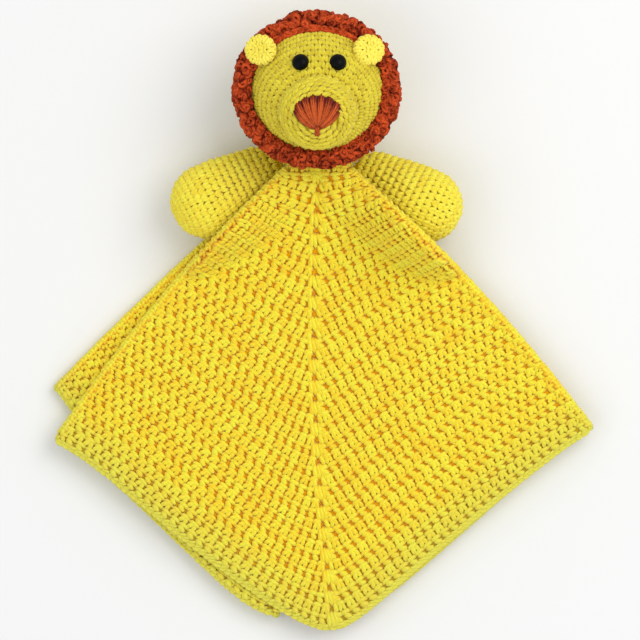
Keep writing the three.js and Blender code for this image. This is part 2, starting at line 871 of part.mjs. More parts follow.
// The centre of the square, gathered into a stump that meets the head
function gatheredCentre() {
  const around = 14;
  const rings = [];
  const steps = 3;
  const bottom = seatGap;
  const crown = layerHeight(3, 0, neckEdge, 0) + clothThickness / 2 - seatGap;
  const footY = neckEdge - clothThickness;
  const squared = (way) => Math.sign(way) * Math.pow(Math.abs(way), stumpRoundness);
  const sideX = new THREE.Vector3(1, 0, 0);
  const up = new THREE.Vector3().crossVectors(neckOut, sideX).normalize();
  for (let i = 0; i <= steps; i++) {
    const share = i / steps;
    const ring = [];
    for (let j = 0; j < around; j++) {
      const turn = (2 * Math.PI * j) / around;
      const round = neckSeat
        .clone()
        .addScaledVector(neckOut, -coverWall)
        .addScaledVector(sideX, Math.cos(turn) * stumpRadius)
        .addScaledVector(up, Math.sin(turn) * -stumpRadius);
      const wide = neckHalfWidth + foldBulge;
      const high = (crown - bottom) / 2;
      const flatRound = new THREE.Vector3(
        squared(Math.cos(turn)) * wide,
        footY,
        bottom + high + squared(Math.sin(turn)) * high,
      );
      ring.push(flatRound.lerp(round, share));
    }
    rings.push(ring);
  }
  return loft(rings);
}

function blanket() {
  const stump = gatheredCentre()
    .subtract(head.solid(seatGap))
    .subtract(leftArm.solid(-seatGap))
    .subtract(rightArm.solid(-seatGap))
    .subtract(leftArm.seam(2 * seatGap))
    .subtract(rightArm.seam(2 * seatGap));
  return foldedSheet().add(stump.simplify(seatGap / 2));
}

// The yarn that sews the head on lies round the stump, against the head
function neckSeam() {
  const count = 24;
  const points = [];
  const sideX = new THREE.Vector3(1, 0, 0);
  const up = new THREE.Vector3().crossVectors(neckOut, sideX).normalize();
  const reach = stumpRadius + seatGap + neckSeamYarn;
  for (let i = 0; i < count; i++) {
    const turn = (2 * Math.PI * i) / count;
    const start = neckSeat
      .clone()
      .addScaledVector(sideX, Math.cos(turn) * reach)
      .addScaledVector(up, Math.sin(turn) * reach);
    const from = start.sub(headCentre);
    const size = headHalves.clone().addScalar(seatGap + neckSeamYarn / 2);
    const scaled = from.clone().divide(size);
    points.push(from.divideScalar(scaled.length()).add(headCentre));
  }
  return yarnRing(points, neckSeamYarn);
}

const yarn = finish(yarnYellow, 0.95, 0);
const rust = finish(yarnRust, 0.95, 0);
const stuffing = finish(stuffingWhite, 1, 0);
const glossBlack = finish(eyeBlack, 0.12, 0);

const lovey = new THREE.Group();
lovey.add(
  meshOf("blanket", blanket(), finish(blanketYellow, 0.95, 0)),
  meshOf("neck_seam", neckSeam(), yarn.clone()),
  meshOf("left_arm_seam", leftArm.seam(), yarn.clone()),
  meshOf("right_arm_seam", rightArm.seam(), yarn.clone()),
  meshOf("head_cover", headCover(), yarn.clone()),
  meshOf("head_filling", headFilling(), stuffing.clone()),
  meshOf("mane", mane(), rust.clone()),
  meshOf("muzzle_cover", muzzleCover(), yarn.clone()),
  meshOf("muzzle_filling", muzzleFilling(), stuffing.clone()),
  meshOf("muzzle_seam", muzzleSeam(), yarn.clone()),
  meshOf("nose_embroidery", nose(), finish(yarnNose, 0.8, 0)),
  meshOf("mouth_stitch", mouth(), finish(yarnNose, 0.8, 0)),
  meshOf("left_eye", eye(eyeSeats[0]), glossBlack.clone()),
  meshOf("right_eye", eye(eyeSeats[1]), glossBlack.clone()),
  meshOf("left_eye_washer", washer(eyeSeats[0]), finish(washerWhite, 0.5, 0)),
  meshOf("right_eye_washer", washer(eyeSeats[1]), finish(washerWhite, 0.5, 0)),
  meshOf("left_ear", ear(-1), yarn.clone()),
  meshOf("right_ear", ear(1), yarn.clone()),
  meshOf("left_ear_seam", earSeam(-1), yarn.clone()),
  meshOf("right_ear_seam", earSeam(1), yarn.clone()),
  meshOf("left_arm_cover", leftArm.cover(), yarn.clone()),
  meshOf("left_arm_filling", leftArm.filling(), stuffing.clone()),
  meshOf("right_arm_cover", rightArm.cover(), yarn.clone()),
  meshOf("right_arm_filling", rightArm.filling(), stuffing.clone()),
);

// The origin is the middle of the underside
const extent = new THREE.Box3().setFromObject(lovey);
const middle = extent.getCenter(new THREE.Vector3());
lovey.position.set(-middle.x, -middle.y, -extent.min.z);

export default lovey;
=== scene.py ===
"""Crocheted lion comfort blanket on its back: yarn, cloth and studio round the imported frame."""

import logging
import math
from dataclasses import dataclass, field
from enum import Enum
from typing import Callable, Sequence

import bmesh
import bpy
import numpy as np
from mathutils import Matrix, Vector


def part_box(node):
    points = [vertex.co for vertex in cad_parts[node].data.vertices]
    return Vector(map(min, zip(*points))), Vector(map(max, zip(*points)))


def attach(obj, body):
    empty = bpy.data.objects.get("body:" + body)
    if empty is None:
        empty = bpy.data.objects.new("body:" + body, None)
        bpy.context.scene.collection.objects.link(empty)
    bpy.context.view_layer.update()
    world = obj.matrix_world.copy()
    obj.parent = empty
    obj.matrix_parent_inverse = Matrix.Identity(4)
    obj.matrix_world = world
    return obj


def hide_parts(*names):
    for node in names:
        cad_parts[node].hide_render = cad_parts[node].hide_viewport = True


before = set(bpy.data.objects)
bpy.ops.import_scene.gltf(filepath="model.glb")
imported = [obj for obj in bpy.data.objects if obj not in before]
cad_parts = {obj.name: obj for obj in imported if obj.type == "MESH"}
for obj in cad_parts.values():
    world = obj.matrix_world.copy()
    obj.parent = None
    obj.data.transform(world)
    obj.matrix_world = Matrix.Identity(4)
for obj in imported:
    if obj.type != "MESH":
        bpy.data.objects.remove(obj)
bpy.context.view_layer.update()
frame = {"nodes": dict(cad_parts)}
LOG = logging.getLogger("lovey")
MM = 0.001
TURN = 2 * math.pi
Triple = tuple[float, float, float]
UP = np.array([0.0, 0.0, 1.0])
ACROSS, FORTH = np.array([1.0, 0.0, 0.0]), np.array([0.0, 1.0, 0.0])
# Ways that the blanket's two outer folds face
FOLD_LEFT, FOLD_RIGHT = np.array([-0.74, 0.67, 0.0]), np.array([0.74, 0.67, 0.0])
NECK_TILT = math.radians(30)
NECK_OUT = np.array([0.0, -math.cos(NECK_TILT), -math.sin(NECK_TILT)])
NECK_UP = np.array([0.0, -math.sin(NECK_TILT), math.cos(NECK_TILT)])


def box_middle(node: str) -> np.ndarray:
    """Middle of a node's box.

    Args:
        node: name of the node in the frame.

    Returns:
        The point in metres.
    """
    low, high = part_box(node)
    return (np.array(low, float) + np.array(high, float)) / 2


def toward(turn: float, across: np.ndarray, up: np.ndarray) -> np.ndarray:
    """The direction at an angle from one axis towards another."""
    return math.cos(turn) * across + math.sin(turn) * up


def unit(vector: np.ndarray) -> np.ndarray:
    """The direction of a vector, with length 1."""
    return vector / np.linalg.norm(vector)


def ring_of(sides: int, across: np.ndarray, up: np.ndarray) -> np.ndarray:
    """Directions all round a circle, one for each side."""
    turns = TURN * np.arange(sides) / sides
    return np.cos(turns)[:, None] * across + np.sin(turns)[:, None] * up


def put(name: str, data: bpy.types.ID) -> bpy.types.Object:
    """A new object of some data, placed in the scene."""
    piece = bpy.data.objects.new(name, data)
    bpy.context.scene.collection.objects.link(piece)
    return piece


def keep_values(mesh: bpy.types.Mesh, name: str, values: np.ndarray) -> None:
    """Keeps one number for each point of a mesh under a name."""
    data = mesh.attributes.new(name, "FLOAT", "POINT").data
    data.foreach_set("value", np.asarray(values, np.float32))


class StitchKind(Enum):
    """Shapes of one crochet stitch or loop."""

    UPRIGHT = "upright"
    TURNED = "turned"
    RIDGE = "ridge"
    LOOP = "loop"
    POST = "post"
    SMALL = "small"
    CHAIN = "chain"
    WHIP = "whip"
    CURL = "curl"


@dataclass(frozen=True)
class YarnFinish:
    """A matte spun yarn with ply twist, told apart stitch by stitch. Its colour also carries
    painted shade in the ply grooves and under the strands, and a painted rim shade where the points
    ask for it.
    """

    name: str
    shade: Triple
    light: Triple
    plies: float = 3.0
    twist: float = 2.4
    relief: float = 0.35
    sheen: float = 0.15
    rough: float = 0.85
    gloss: float = 0.25
    cloud_scale: float = 70.0
    cloud_share: float = 0.42
    ply_shade_share: float = 0.30
    base_share: float = 0.02
    fleck_share: float = 0.34
    painted_rim_colour: Triple = (0.70, 0.66, 0.08)
    tint_share: float = 0.34
    fleck_scale: float = 620.0
    fleck_gain: float = 2.6
    fleck_shift: float = -0.8
    fibre_scale: float = 2600.0
    fibre_share: float = 0.5
    hollow_shade_share: float = 0.9
    hollow_shade_tone: Triple = (0.9, 0.6, 0.5)
    painted_rim_share: float = 0.8
    relief_depth: float = 0.0005

    def material(self) -> bpy.types.Material:
        """The yarn as a node material that reads the yarn's own coordinates.

        Returns:
            The material.
        """
        work = Shading(self.name)
        work.shader.inputs["Roughness"].default_value = self.rough
        work.shader.inputs["Sheen Weight"].default_value = self.sheen
        work.shader.inputs["Sheen Roughness"].default_value = 0.5
        work.shader.inputs["Specular IOR Level"].default_value = self.gloss
        ply = self._plies(work)
        share = work.calc("MULTIPLY_ADD", work.own("tint"), self.tint_share, self.base_share)
        cloud = work.noise(self.cloud_scale, 3.0)
        share = work.calc("MULTIPLY_ADD", cloud, self.cloud_share, share)
        # Painted shade: the grooves between the twisted plies are coloured towards the shade tone.
        share = work.calc("MULTIPLY_ADD", ply, self.ply_shade_share, share)
        fleck = work.noise(self.fleck_scale, 2.0)
        speck = work.calc("MULTIPLY_ADD", fleck, self.fleck_gain, self.fleck_shift)
        share = work.calc("MULTIPLY_ADD", speck, self.fleck_share, share)
        result = work.mix(self.shade, self.light, share)
        # Painted shade and bounce light: the strands' lower sides, marked deep, turn towards a
        # darker, more orange colour.
        hollow = tuple(c * k for c, k in zip(self.shade, self.hollow_shade_tone))
        result = work.mix(result, hollow, work.calc("MULTIPLY", work.own("deep"), self.hollow_shade_share))
        # Painted rim shade: towards the free edge the yarn turns paler and greener, for the fainter
        # light there and less orange bounce light than the layered middle gets.
        painted_rim_shade = work.calc("MULTIPLY", work.own("painted_rim_shade"), self.painted_rim_share)
        result = work.mix(result, self.painted_rim_colour, painted_rim_shade)
        work.links.new(result, work.shader.inputs["Base Color"])
        fibres = work.noise(self.fibre_scale, 2.0)
        height = work.calc("MULTIPLY_ADD", fibres, self.fibre_share, ply)
        work.bump(height, self.relief, self.relief_depth)
        return work.material

    def _plies(self, work: "Shading") -> bpy.types.NodeSocket:
        """The ridges of the twisted plies, from 0 to 1, along the yarn's own coordinates.

        Args:
            work: the material in the making.

        Returns:
            The socket.
        """
        uv = work.nodes.new("ShaderNodeUVMap")
        uv.uv_map = "yarn"
        split = work.nodes.new("ShaderNodeSeparateXYZ")
        work.links.new(uv.outputs["UV"], split.inputs["Vector"])
        along = work.calc("MULTIPLY", split.outputs["X"], self.twist * TURN)
        around = work.calc("MULTIPLY", split.outputs["Y"], self.plies * TURN)
        wave = work.calc("SINE", work.calc("ADD", along, around))
        return work.calc("MULTIPLY_ADD", wave, 0.5, 0.5)


@dataclass(frozen=True)
class UnderFinish:
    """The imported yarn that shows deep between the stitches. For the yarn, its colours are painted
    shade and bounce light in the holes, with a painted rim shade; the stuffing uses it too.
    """

    name: str
    shade: Triple
    light: Triple
    grain: float = 900.0
    painted_rim_colour: Triple = (0.46, 0.38, 0.03)
    rough: float = 0.95
    gloss: float = 0.1
    relief: float = 0.6
    relief_depth: float = 0.0006

    def material(self) -> bpy.types.Material:
        """The under layer as a node material on object coordinates.

        Returns:
            The material.
        """
        work = Shading(self.name)
        work.shader.inputs["Roughness"].default_value = self.rough
        work.shader.inputs["Specular IOR Level"].default_value = self.gloss
        noise = work.noise(self.grain, 3.0)
        # Painted rim shade: towards the free edge the holes turn a darker olive.
        result = work.mix(work.mix(self.shade, self.light, noise), self.painted_rim_colour, work.own("painted_rim_shade"))
        work.links.new(result, work.shader.inputs["Base Color"])
        work.bump(noise, self.relief, self.relief_depth)
        return work.material


@dataclass(frozen=True)
class PlasticFinish:
    """A moulded plastic with the faint waviness of a pressed part."""

    name: str
    colour: Triple
    rough: float
    coat: float = 0.0
    gloss: float = 0.25
    waviness: float = 320.0
    rough_change: float = 0.08
    relief: float = 0.04
    relief_depth: float = 0.0002

    def material(self) -> bpy.types.Material:
        """The plastic as a node material.

        Returns:
            The material.
        """
        work = Shading(self.name)
        work.shader.inputs["Base Color"].default_value = (*self.colour, 1)
        work.shader.inputs["Coat Weight"].default_value = self.coat
        work.shader.inputs["Specular IOR Level"].default_value = self.gloss
        work.shader.inputs["Coat Roughness"].default_value = 0.05
        noise = work.noise(self.waviness, 2.0)
        rough = work.calc("MULTIPLY_ADD", noise, self.rough_change, self.rough)
        work.links.new(rough, work.shader.inputs["Roughness"])
        work.bump(noise, self.relief, self.relief_depth)
        return work.material


Finish = YarnFinish | UnderFinish | PlasticFinish


class Shading:
    """A node material in the making."""

    def __init__(self, name: str) -> None:
        """Starts with a Principled shader alone.

        Args:
            name: name of the material.
        """
        self.material = bpy.data.materials.new(name)
        self.material.use_nodes = True
        self.nodes, self.links = self.material.node_tree.nodes, self.material.node_tree.links
        self.shader = self.nodes["Principled BSDF"]
        self.place = self.nodes.new("ShaderNodeTexCoord").outputs["Object"]

    def calc(self, operation: str, *values: "Value") -> bpy.types.NodeSocket:
        """One Math node on sockets or numbers."""
        return calc(self.nodes, self.links, operation, *values)

    def own(self, name: str) -> bpy.types.NodeSocket:
        """The value of a point attribute of the mesh."""
        node = self.nodes.new("ShaderNodeAttribute")
        node.attribute_name = name
        return node.outputs["Fac"]

    def noise(self, scale: float, detail: float) -> bpy.types.NodeSocket:
        """Noise on object coordinates.

        Args:
            scale: the noise's scale.
            detail: its detail.

        Returns:
            The socket of its value.
        """
        node = self.nodes.new("ShaderNodeTexNoise")
        node.inputs["Scale"].default_value = scale
        node.inputs["Detail"].default_value = detail
        self.links.new(self.place, node.inputs["Vector"])
        return node.outputs["Fac"]

    def mix(
        self, a: Triple | bpy.types.NodeSocket, b: Triple, share: bpy.types.NodeSocket
    ) -> bpy.types.NodeSocket:
        """A mix of two colours.

        Args:
            a: the first colour, or its socket.
            b: the second colour.
            share: socket of the second colour's share.

        Returns:
            The socket of the mixed colour.
        """
        node = self.nodes.new("ShaderNodeMix")
        node.data_type = "RGBA"
        if isinstance(a, tuple):
            node.inputs["A"].default_value = (*a, 1)
        else:
            self.links.new(a, node.inputs["A"])
        node.inputs["B"].default_value = (*b, 1)
        self.links.new(share, node.inputs["Factor"])
        return node.outputs["Result"]

    def bump(self, height: bpy.types.NodeSocket, strength: float, distance: float) -> None:
        """Fine relief on the shader.

        Args:
            height: socket of the height.
            strength: the relief's strength.
            distance: its depth in metres.
        """
        node = self.nodes.new("ShaderNodeBump")
        node.inputs["Strength"].default_value = strength
        node.inputs["Distance"].default_value = distance
        self.links.new(height, node.inputs["Height"])
        self.links.new(node.outputs["Normal"], self.shader.inputs["Normal"])


Value = float | bpy.types.NodeSocket


def feed(links: bpy.types.NodeLinks, socket: bpy.types.NodeSocket, value: Value) -> None:
    """Gives an input its number or its link."""
    if isinstance(value, (int, float)):
        socket.default_value = value
    else:
        links.new(value, socket)


def calc(
    nodes: bpy.types.Nodes, links: bpy.types.NodeLinks, operation: str, *values: Value
) -> bpy.types.NodeSocket:
    """One Math node.

    Args:
        nodes: nodes of the tree.
        links: links of the tree.
        operation: the Math node's operation.
        values: its sockets or numbers.

    Returns:
        The node's result socket.
    """
    node = nodes.new("ShaderNodeMath")
    node.operation = operation
    for socket, value in zip(node.inputs, values):
        feed(links, socket, value)
    return node.outputs[0]


BLANKET_YARN = YarnFinish("blanket_yarn", (0.88, 0.47, 0.001), (0.87, 0.81, 0.05))
BODY_YARN = YarnFinish("body_yarn", (0.78, 0.52, 0.010), (0.90, 0.81, 0.065))
# Painted shade: the head, muzzle and muzzle seam use the body's yellow yarn darkened, for the shade
# over the head.
SHADED_HEAD_YARN = YarnFinish("shaded_head_yarn", (0.48, 0.33, 0.006), (0.80, 0.68, 0.045))
EAR_YARN = YarnFinish("ear_yarn", (0.84, 0.66, 0.035), (0.97, 0.85, 0.12))
MANE_YARN = YarnFinish(
    "mane_yarn", (0.07, 0.001, 0.0005), (0.68, 0.090, 0.021), relief=0.55, sheen=0.02, gloss=0.06,
    cloud_scale=210.0, cloud_share=1.9, base_share=-0.8,
)
NOSE_YARN = YarnFinish(
    "nose_yarn", (0.13, 0.005, 0.003), (0.60, 0.105, 0.020), sheen=0.04, rough=0.6, gloss=0.12,
    cloud_share=0.3, base_share=0.0,
)
# Painted shade of the nose: a dark bed under the strands and dark ends where they dip into the
# muzzle.
NOSE_SHADE = YarnFinish("nose_shade_yarn", (0.07, 0.003, 0.002), (0.24, 0.016, 0.007))
# The under layers take painted shade and bounce light in the holes between the stitches: darker
# than the yarn above, and for the yellow yarns more orange.
BLANKET_HOLE_SHADE = UnderFinish("blanket_hole_shade", (0.84, 0.35, 0.001), (0.97, 0.55, 0.004))
BODY_HOLE_SHADE = UnderFinish("body_hole_shade", (0.58, 0.38, 0.008), (0.80, 0.58, 0.025))
EAR_HOLE_SHADE = UnderFinish("ear_hole_shade", (0.80, 0.62, 0.03), (0.92, 0.78, 0.08))
MANE_HOLE_SHADE = UnderFinish("mane_hole_shade", (0.06, 0.003, 0.002), (0.24, 0.022, 0.006))
STUFFING = UnderFinish("stuffing", (0.78, 0.77, 0.74), (0.9, 0.89, 0.86), 300.0)
EYE_BLACK = PlasticFinish("eye_black", (0.0015, 0.0015, 0.002), 0.32, gloss=0.08)
WASHER_WHITE = PlasticFinish("washer_white", (0.75, 0.75, 0.73), 0.4)
_made: dict[str, bpy.types.Material] = {}


def material_of(finish: Finish) -> bpy.types.Material:
    """The material of a finish, made once.

    Args:
        finish: one of the finishes above.

    Returns:
        The material.
    """
    if finish.name not in _made:
        _made[finish.name] = finish.material()
    return _made[finish.name]


class Skin:
    """Points, faces and yarn coordinates that are gathered for one mesh."""

    def __init__(self) -> None:
        """Starts empty."""
        self.points: list[np.ndarray] = []
        self.faces: list[tuple[int, ...]] = []
        self.coords: list[tuple[float, float]] = []
        self.tints: list[np.ndarray] = []
        self.tint: float | np.ndarray = 0.5
        self.count = 0

    def grid(self, points: np.ndarray, round_i: bool = False, round_j: bool = False) -> None:
        """Adds a grid of quads.

        Args:
            points: array of rows, columns and xyz, in millimetres.
            round_i: the last row joins the first.
            round_j: the last column joins the first.
        """
        rows, columns = points.shape[:2]
        start = self.count
        self.points.append(points.reshape(-1, 3))
        self.tints.append(np.full(rows * columns, self.tint))
        self.count += rows * columns
        for i in range(rows if round_i else rows - 1):
            for j in range(columns if round_j else columns - 1):
                k, m = (i + 1) % rows, (j + 1) % columns
                corners = ((i, j), (k, j), (k, m), (i, m))
                self.faces.append(tuple(start + a * columns + b for a, b in corners))
                self.coords += [(i / 4, j / 4), ((i + 1) / 4, j / 4)]
                self.coords += [((i + 1) / 4, (j + 1) / 4), (i / 4, (j + 1) / 4)]

    def cap(self, ring: Sequence[int], turned: bool) -> None:
        """Closes a ring of points with one face.

        Args:
            ring: numbers of the points.
            turned: the ring runs the other way round.
        """
        order = list(ring)[::-1] if turned else list(ring)
        self.faces.append(tuple(order))
        self.coords += [(0.0, 0.0)] * len(order)

    def closed(self, points: np.ndarray, turned: bool = False) -> None:
        """Adds a grid of rings with both its ends closed.

        Args:
            points: array of rings, sides and xyz, in millimetres.
            turned: the rings run the other way round.
        """
        rings, sides = points.shape[:2]
        start = self.count
        self.grid(points, round_j=True)
        self.cap(range(start, start + sides), turned)
        last = start + (rings - 1) * sides
        self.cap(range(last, last + sides), not turned)

    def tube(
        self, path: Sequence[np.ndarray], radius: float | Sequence[float], sides: int
    ) -> None:
        """Adds a yarn along a path.

        Args:
            path: points in millimetres.
            radius: one radius, or one for each point.
            sides: sides of the section.
        """
        path = np.asarray(path, float)
        n = len(path)
        radii = np.broadcast_to(np.asarray(radius, float), (n,))
        tangent = np.roll(path, -1, 0) - np.roll(path, 1, 0)
        tangent[0], tangent[-1] = path[1] - path[0], path[-1] - path[-2]
        tangent /= np.linalg.norm(tangent, axis=1)[:, None] + 1e-12
        normal = np.array((0.03, 0.05, 1.0))
        length = np.concatenate([[0], np.cumsum(np.linalg.norm(np.diff(path, axis=0), axis=1))])
        start = self.count
        rings = []
        for i in range(n):
            flat = normal - tangent[i] * normal.dot(tangent[i])
            if np.linalg.norm(flat) < 1e-6:
                flat = np.cross(tangent[i], (1.0, 0.3, 0.1))
            normal = flat = unit(flat)
            rings.append(path[i] + radii[i] * ring_of(sides, flat, np.cross(tangent[i], flat)))
        self.points.append(np.concatenate(rings))
        self.tints.append(np.repeat(np.broadcast_to(self.tint, (n,)), sides))
        self.count += n * sides
        for i in range(n - 1):
            near, far = length[i] / 10, length[i + 1] / 10
            for j in range(sides):
                m = (j + 1) % sides
                corners = ((i, j), (i, m), (i + 1, m), (i + 1, j))
                self.faces.append(tuple(start + a * sides + b for a, b in corners))
                self.coords += [(near, j / sides), (near, (j + 1) / sides)]
                self.coords += [(far, (j + 1) / sides), (far, j / sides)]
        self.cap(range(start, start + sides), True)
        last = start + (n - 1) * sides
        self.cap(range(last, last + sides), False)

    def build(
        self,
        name: str,
        finish: Finish,
        origin: "Origin | None" = None,
        tinted: bool = True,
    ) -> bpy.types.Object:
        """Makes the object.

        Args:
            name: name of the piece.
            finish: its finish.
            origin: where the toy's own frame lies, or none for a loose stitch.
            tinted: the points carry each strand's own tint.

        Returns:
            The new object.
        """
        points = np.concatenate(self.points)
        points = origin.place(points) if origin else points * MM
        mesh = bpy.data.meshes.new(name)
        mesh.from_pydata(points.tolist(), [], self.faces)
        layer = mesh.uv_layers.new(name="yarn")
        layer.data.foreach_set("uv", np.array(self.coords, np.float32).ravel())
        mesh.polygons.foreach_set("use_smooth", [True] * len(mesh.polygons))
        if tinted:
            keep_values(mesh, "tint", np.concatenate(self.tints))
        mesh.materials.append(material_of(finish))
        mesh.update()
        return put(name, mesh)


@dataclass(frozen=True)
class Origin:
    """Where the neck, the toy's own zero point, lies in the frame. Millimetres."""

    x: float
    y: float

    def place(self, points: np.ndarray) -> np.ndarray:
        """Points of the toy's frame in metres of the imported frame.

        Args:
            points: xyz rows in millimetres from the neck.

        Returns:
            xyz rows in metres.
        """
        return (np.asarray(points, float) + (self.x, self.y, 0.0)) * MM


def mirrored(strand: Sequence[Triple]) -> list[Triple]:
    """The same strand on the other side of its stitch."""
    return [(-x, y, z) for x, y, z in strand]


V_LEG = [(-0.31, 0.56, -0.4), (-0.30, 0.30, 0.7), (-0.23, 0.0, 0.98), (-0.11, -0.32, 0.6)]
V_LEG += [(-0.03, -0.6, -0.5)]
CHAIN_LEG = [(-0.3, 0.72, -0.5), (-0.3, 0.42, 0.7), (-0.26, 0.05, 1.05), (-0.14, -0.34, 0.8)]
CHAIN_LEG += [(0.02, -0.66, -0.5)]
# Strands of each stitch, in shares of its pitch, its row height and its yarn's radius
STRANDS = {
    StitchKind.UPRIGHT: [
        [(-0.58, 0.16, -0.2), (-0.28, 0.29, 0.75), (0, 0.33, 1.0)]
        + [(0.28, 0.27, 0.75), (0.58, 0.2, -0.2)],
        [(-0.42, -0.6, -0.5), (-0.29, -0.32, 0.75), (-0.15, -0.04, 0.95)]
        + [(-0.03, 0.2, 0.4), (0.02, 0.3, -0.3)],
        [(0.2, -0.64, -0.5), (0.21, -0.36, 0.6), (0.2, -0.1, 0.8)]
        + [(0.13, 0.14, 0.4), (0.08, 0.26, -0.3)],
    ],
    StitchKind.TURNED: [
        [(-0.58, 0.2, -0.2), (-0.28, 0.3, 0.7), (0, 0.28, 0.9)]
        + [(0.28, 0.31, 0.7), (0.58, 0.18, -0.2)],
        [(-0.36, -0.1, -0.5), (-0.2, -0.12, 0.75), (0.02, -0.2, 1.1)]
        + [(0.2, -0.3, 0.75), (0.33, -0.36, -0.4)],
        [(0.02, -0.66, -0.5), (-0.06, -0.44, 0.5), (-0.08, -0.2, 0.3)]
        + [(-0.04, 0.1, 0.5), (0.0, 0.3, -0.3)],
    ],
    StitchKind.POST: [
        [(0, -0.62, -0.6), (0.03, -0.3, 0.7), (0, 0, 1.0)] + [(-0.03, 0.3, 0.7), (0, 0.62, -0.6)]
    ],
    StitchKind.RIDGE: [
        [(-0.74, -0.26, 0.0), (-0.36, -0.12, 0.7), (0, 0, 0.9)]
        + [(0.36, 0.12, 0.7), (0.74, 0.26, 0.0)]
    ],
    StitchKind.WHIP: [
        [(-0.2, -0.5, -1), (-0.12, -0.3, 0.5), (0, 0, 1), (0.12, 0.3, 0.5), (0.2, 0.5, -1)]
    ],
    StitchKind.CHAIN: [CHAIN_LEG, mirrored(CHAIN_LEG)],
    StitchKind.SMALL: [V_LEG, mirrored(V_LEG)],
}
# The stitches of the openwork, whose yarn is seen far down into the holes and so takes more of the
# painted shade of the hollows
OPEN_KINDS = (StitchKind.UPRIGHT, StitchKind.TURNED, StitchKind.POST)


@dataclass(frozen=True)
class StitchShape:
    """One loop of yarn, drawn round its own centre: x along the row, y across it, z out."""

    kind: StitchKind
    pitch: float
    row: float
    yarn: float

    def legs(self) -> list[tuple[np.ndarray, np.ndarray]]:
        """Paths and radii of the strands.

        Returns:
            A list of path and radius pairs in millimetres.
        """
        p, h, r = self.pitch, self.row, self.yarn / 2
        swell = r * np.array([0.6, 0.96, 1.05, 0.96, 0.6])
        if self.kind in (StitchKind.CURL, StitchKind.LOOP):
            tight = self.kind is StitchKind.CURL
            steps, turns = (20, 1.7) if tight else (9, 0.9)
            t = np.linspace(0, 1, steps)
            turn = t * TURN * turns
            reach = p / 2 - r - (p / 2 - 1.5 * r if tight else 0) * t
            lift = h * (t**0.8) - h / 2 if tight else h * (np.sin(math.pi * t) - 0.7)
            path = np.stack([reach * np.cos(turn), reach * np.sin(turn), lift], 1)
            return [(path, r * np.clip(np.minimum(t, 1 - t) * 12 + 0.5, 0, 1))]
        scale = np.array([p, h, r])
        return [(np.array(leg) * scale, swell[: len(leg)]) for leg in STRANDS[self.kind]]

    def source(self, finish: YarnFinish) -> bpy.types.Object:
        """The loop as a small mesh that the node tree plants.

        Args:
            finish: the yarn's finish.

        Returns:
            The source object.
        """
        skin = Skin()
        for path, radii in self.legs():
            skin.tube(path, radii, 5)
        source = skin.build(f"source_{self.kind.value}", finish, tinted=False)
        # The lower side of each strand is marked deep, for the painted shade and bounce light of
        # the hollows; openwork stitches take it higher up.
        rise = np.concatenate(skin.points)[:, 2] / (self.yarn / 2)
        low = 0.9 if self.kind in OPEN_KINDS else 0.2
        keep_values(source.data, "deep", np.clip(low - rise, 0, 1))
        return source


HEAD_ROUND = StitchShape(StitchKind.SMALL, 4.3, 4.3, 2.8)
MUZZLE_ROUND = StitchShape(StitchKind.RIDGE, 4.2, 3.7, 3.4)
MUZZLE_WHIP = StitchShape(StitchKind.WHIP, 4.4, 4.6, 2.4)
EAR_ROUND = StitchShape(StitchKind.SMALL, 4.2, 3.7, 2.2)
EAR_WHIP = StitchShape(StitchKind.WHIP, 3.4, 3.4, 1.7)
MANE_CURL = StitchShape(StitchKind.CURL, 10.0, 3.6, 2.6)
MANE_LOOP = StitchShape(StitchKind.LOOP, 6.6, 2.6, 2.6)
MANE_CHAIN = StitchShape(StitchKind.CHAIN, 4.2, 4.4, 2.5)
NECK_WHIP = StitchShape(StitchKind.WHIP, 4.0, 4.2, 2.0)
ARM_WHIP = StitchShape(StitchKind.WHIP, 3.6, 3.6, 1.7)
GATHER_STITCH = StitchShape(StitchKind.UPRIGHT, 5.0, 4.2, 3.0)
EDGE_CHAIN = StitchShape(StitchKind.CHAIN, 3.6, 4.6, 2.3)


@dataclass
class StitchField:
    """Places of many equal stitches: where, which way out, which way along the row, how large."""

    shape: StitchShape
    where: list[np.ndarray] = field(default_factory=list)
    out: list[np.ndarray] = field(default_factory=list)
    row: list[np.ndarray] = field(default_factory=list)
    size: list[Triple] = field(default_factory=list)
    painted_rim_shade: list[float] = field(default_factory=list)

    def add(
        self,
        where: Sequence[float],
        out: Sequence[float],
        row: Sequence[float],
        size: Triple = (1.0, 1.0, 1.0),
        painted_rim_shade: float = 0.0,
    ) -> None:
        """Adds one stitch.

        Args:
            where: its centre in millimetres.
            out: direction away from the cloth.
            row: direction along its row.
            size: scale along the row, across it and outwards.
            painted_rim_shade: how far its yarn takes the painted rim shade, a paler, greener tone.
        """
        self.where.append(np.asarray(where, float))
        self.out.append(np.asarray(out, float))
        self.row.append(np.asarray(row, float))
        self.size.append(size)
        self.painted_rim_shade.append(painted_rim_shade)

    def points(self, name: str, origin: Origin) -> bpy.types.Object:
        """The places as loose points with named attributes.

        Args:
            name: name of the object.
            origin: where the toy's frame lies.

        Returns:
            The object that the node tree starts from.
        """
        mesh = bpy.data.meshes.new(name)
        mesh.from_pydata(origin.place(np.array(self.where)).tolist(), [], [])
        for label, rows in (("out", self.out), ("row", self.row), ("size", self.size)):
            data = mesh.attributes.new(label, "FLOAT_VECTOR", "POINT").data
            data.foreach_set("vector", np.array(rows, np.float32).ravel())
        keep_values(mesh, "painted_rim_shade", self.painted_rim_shade)
        return put(name, mesh)


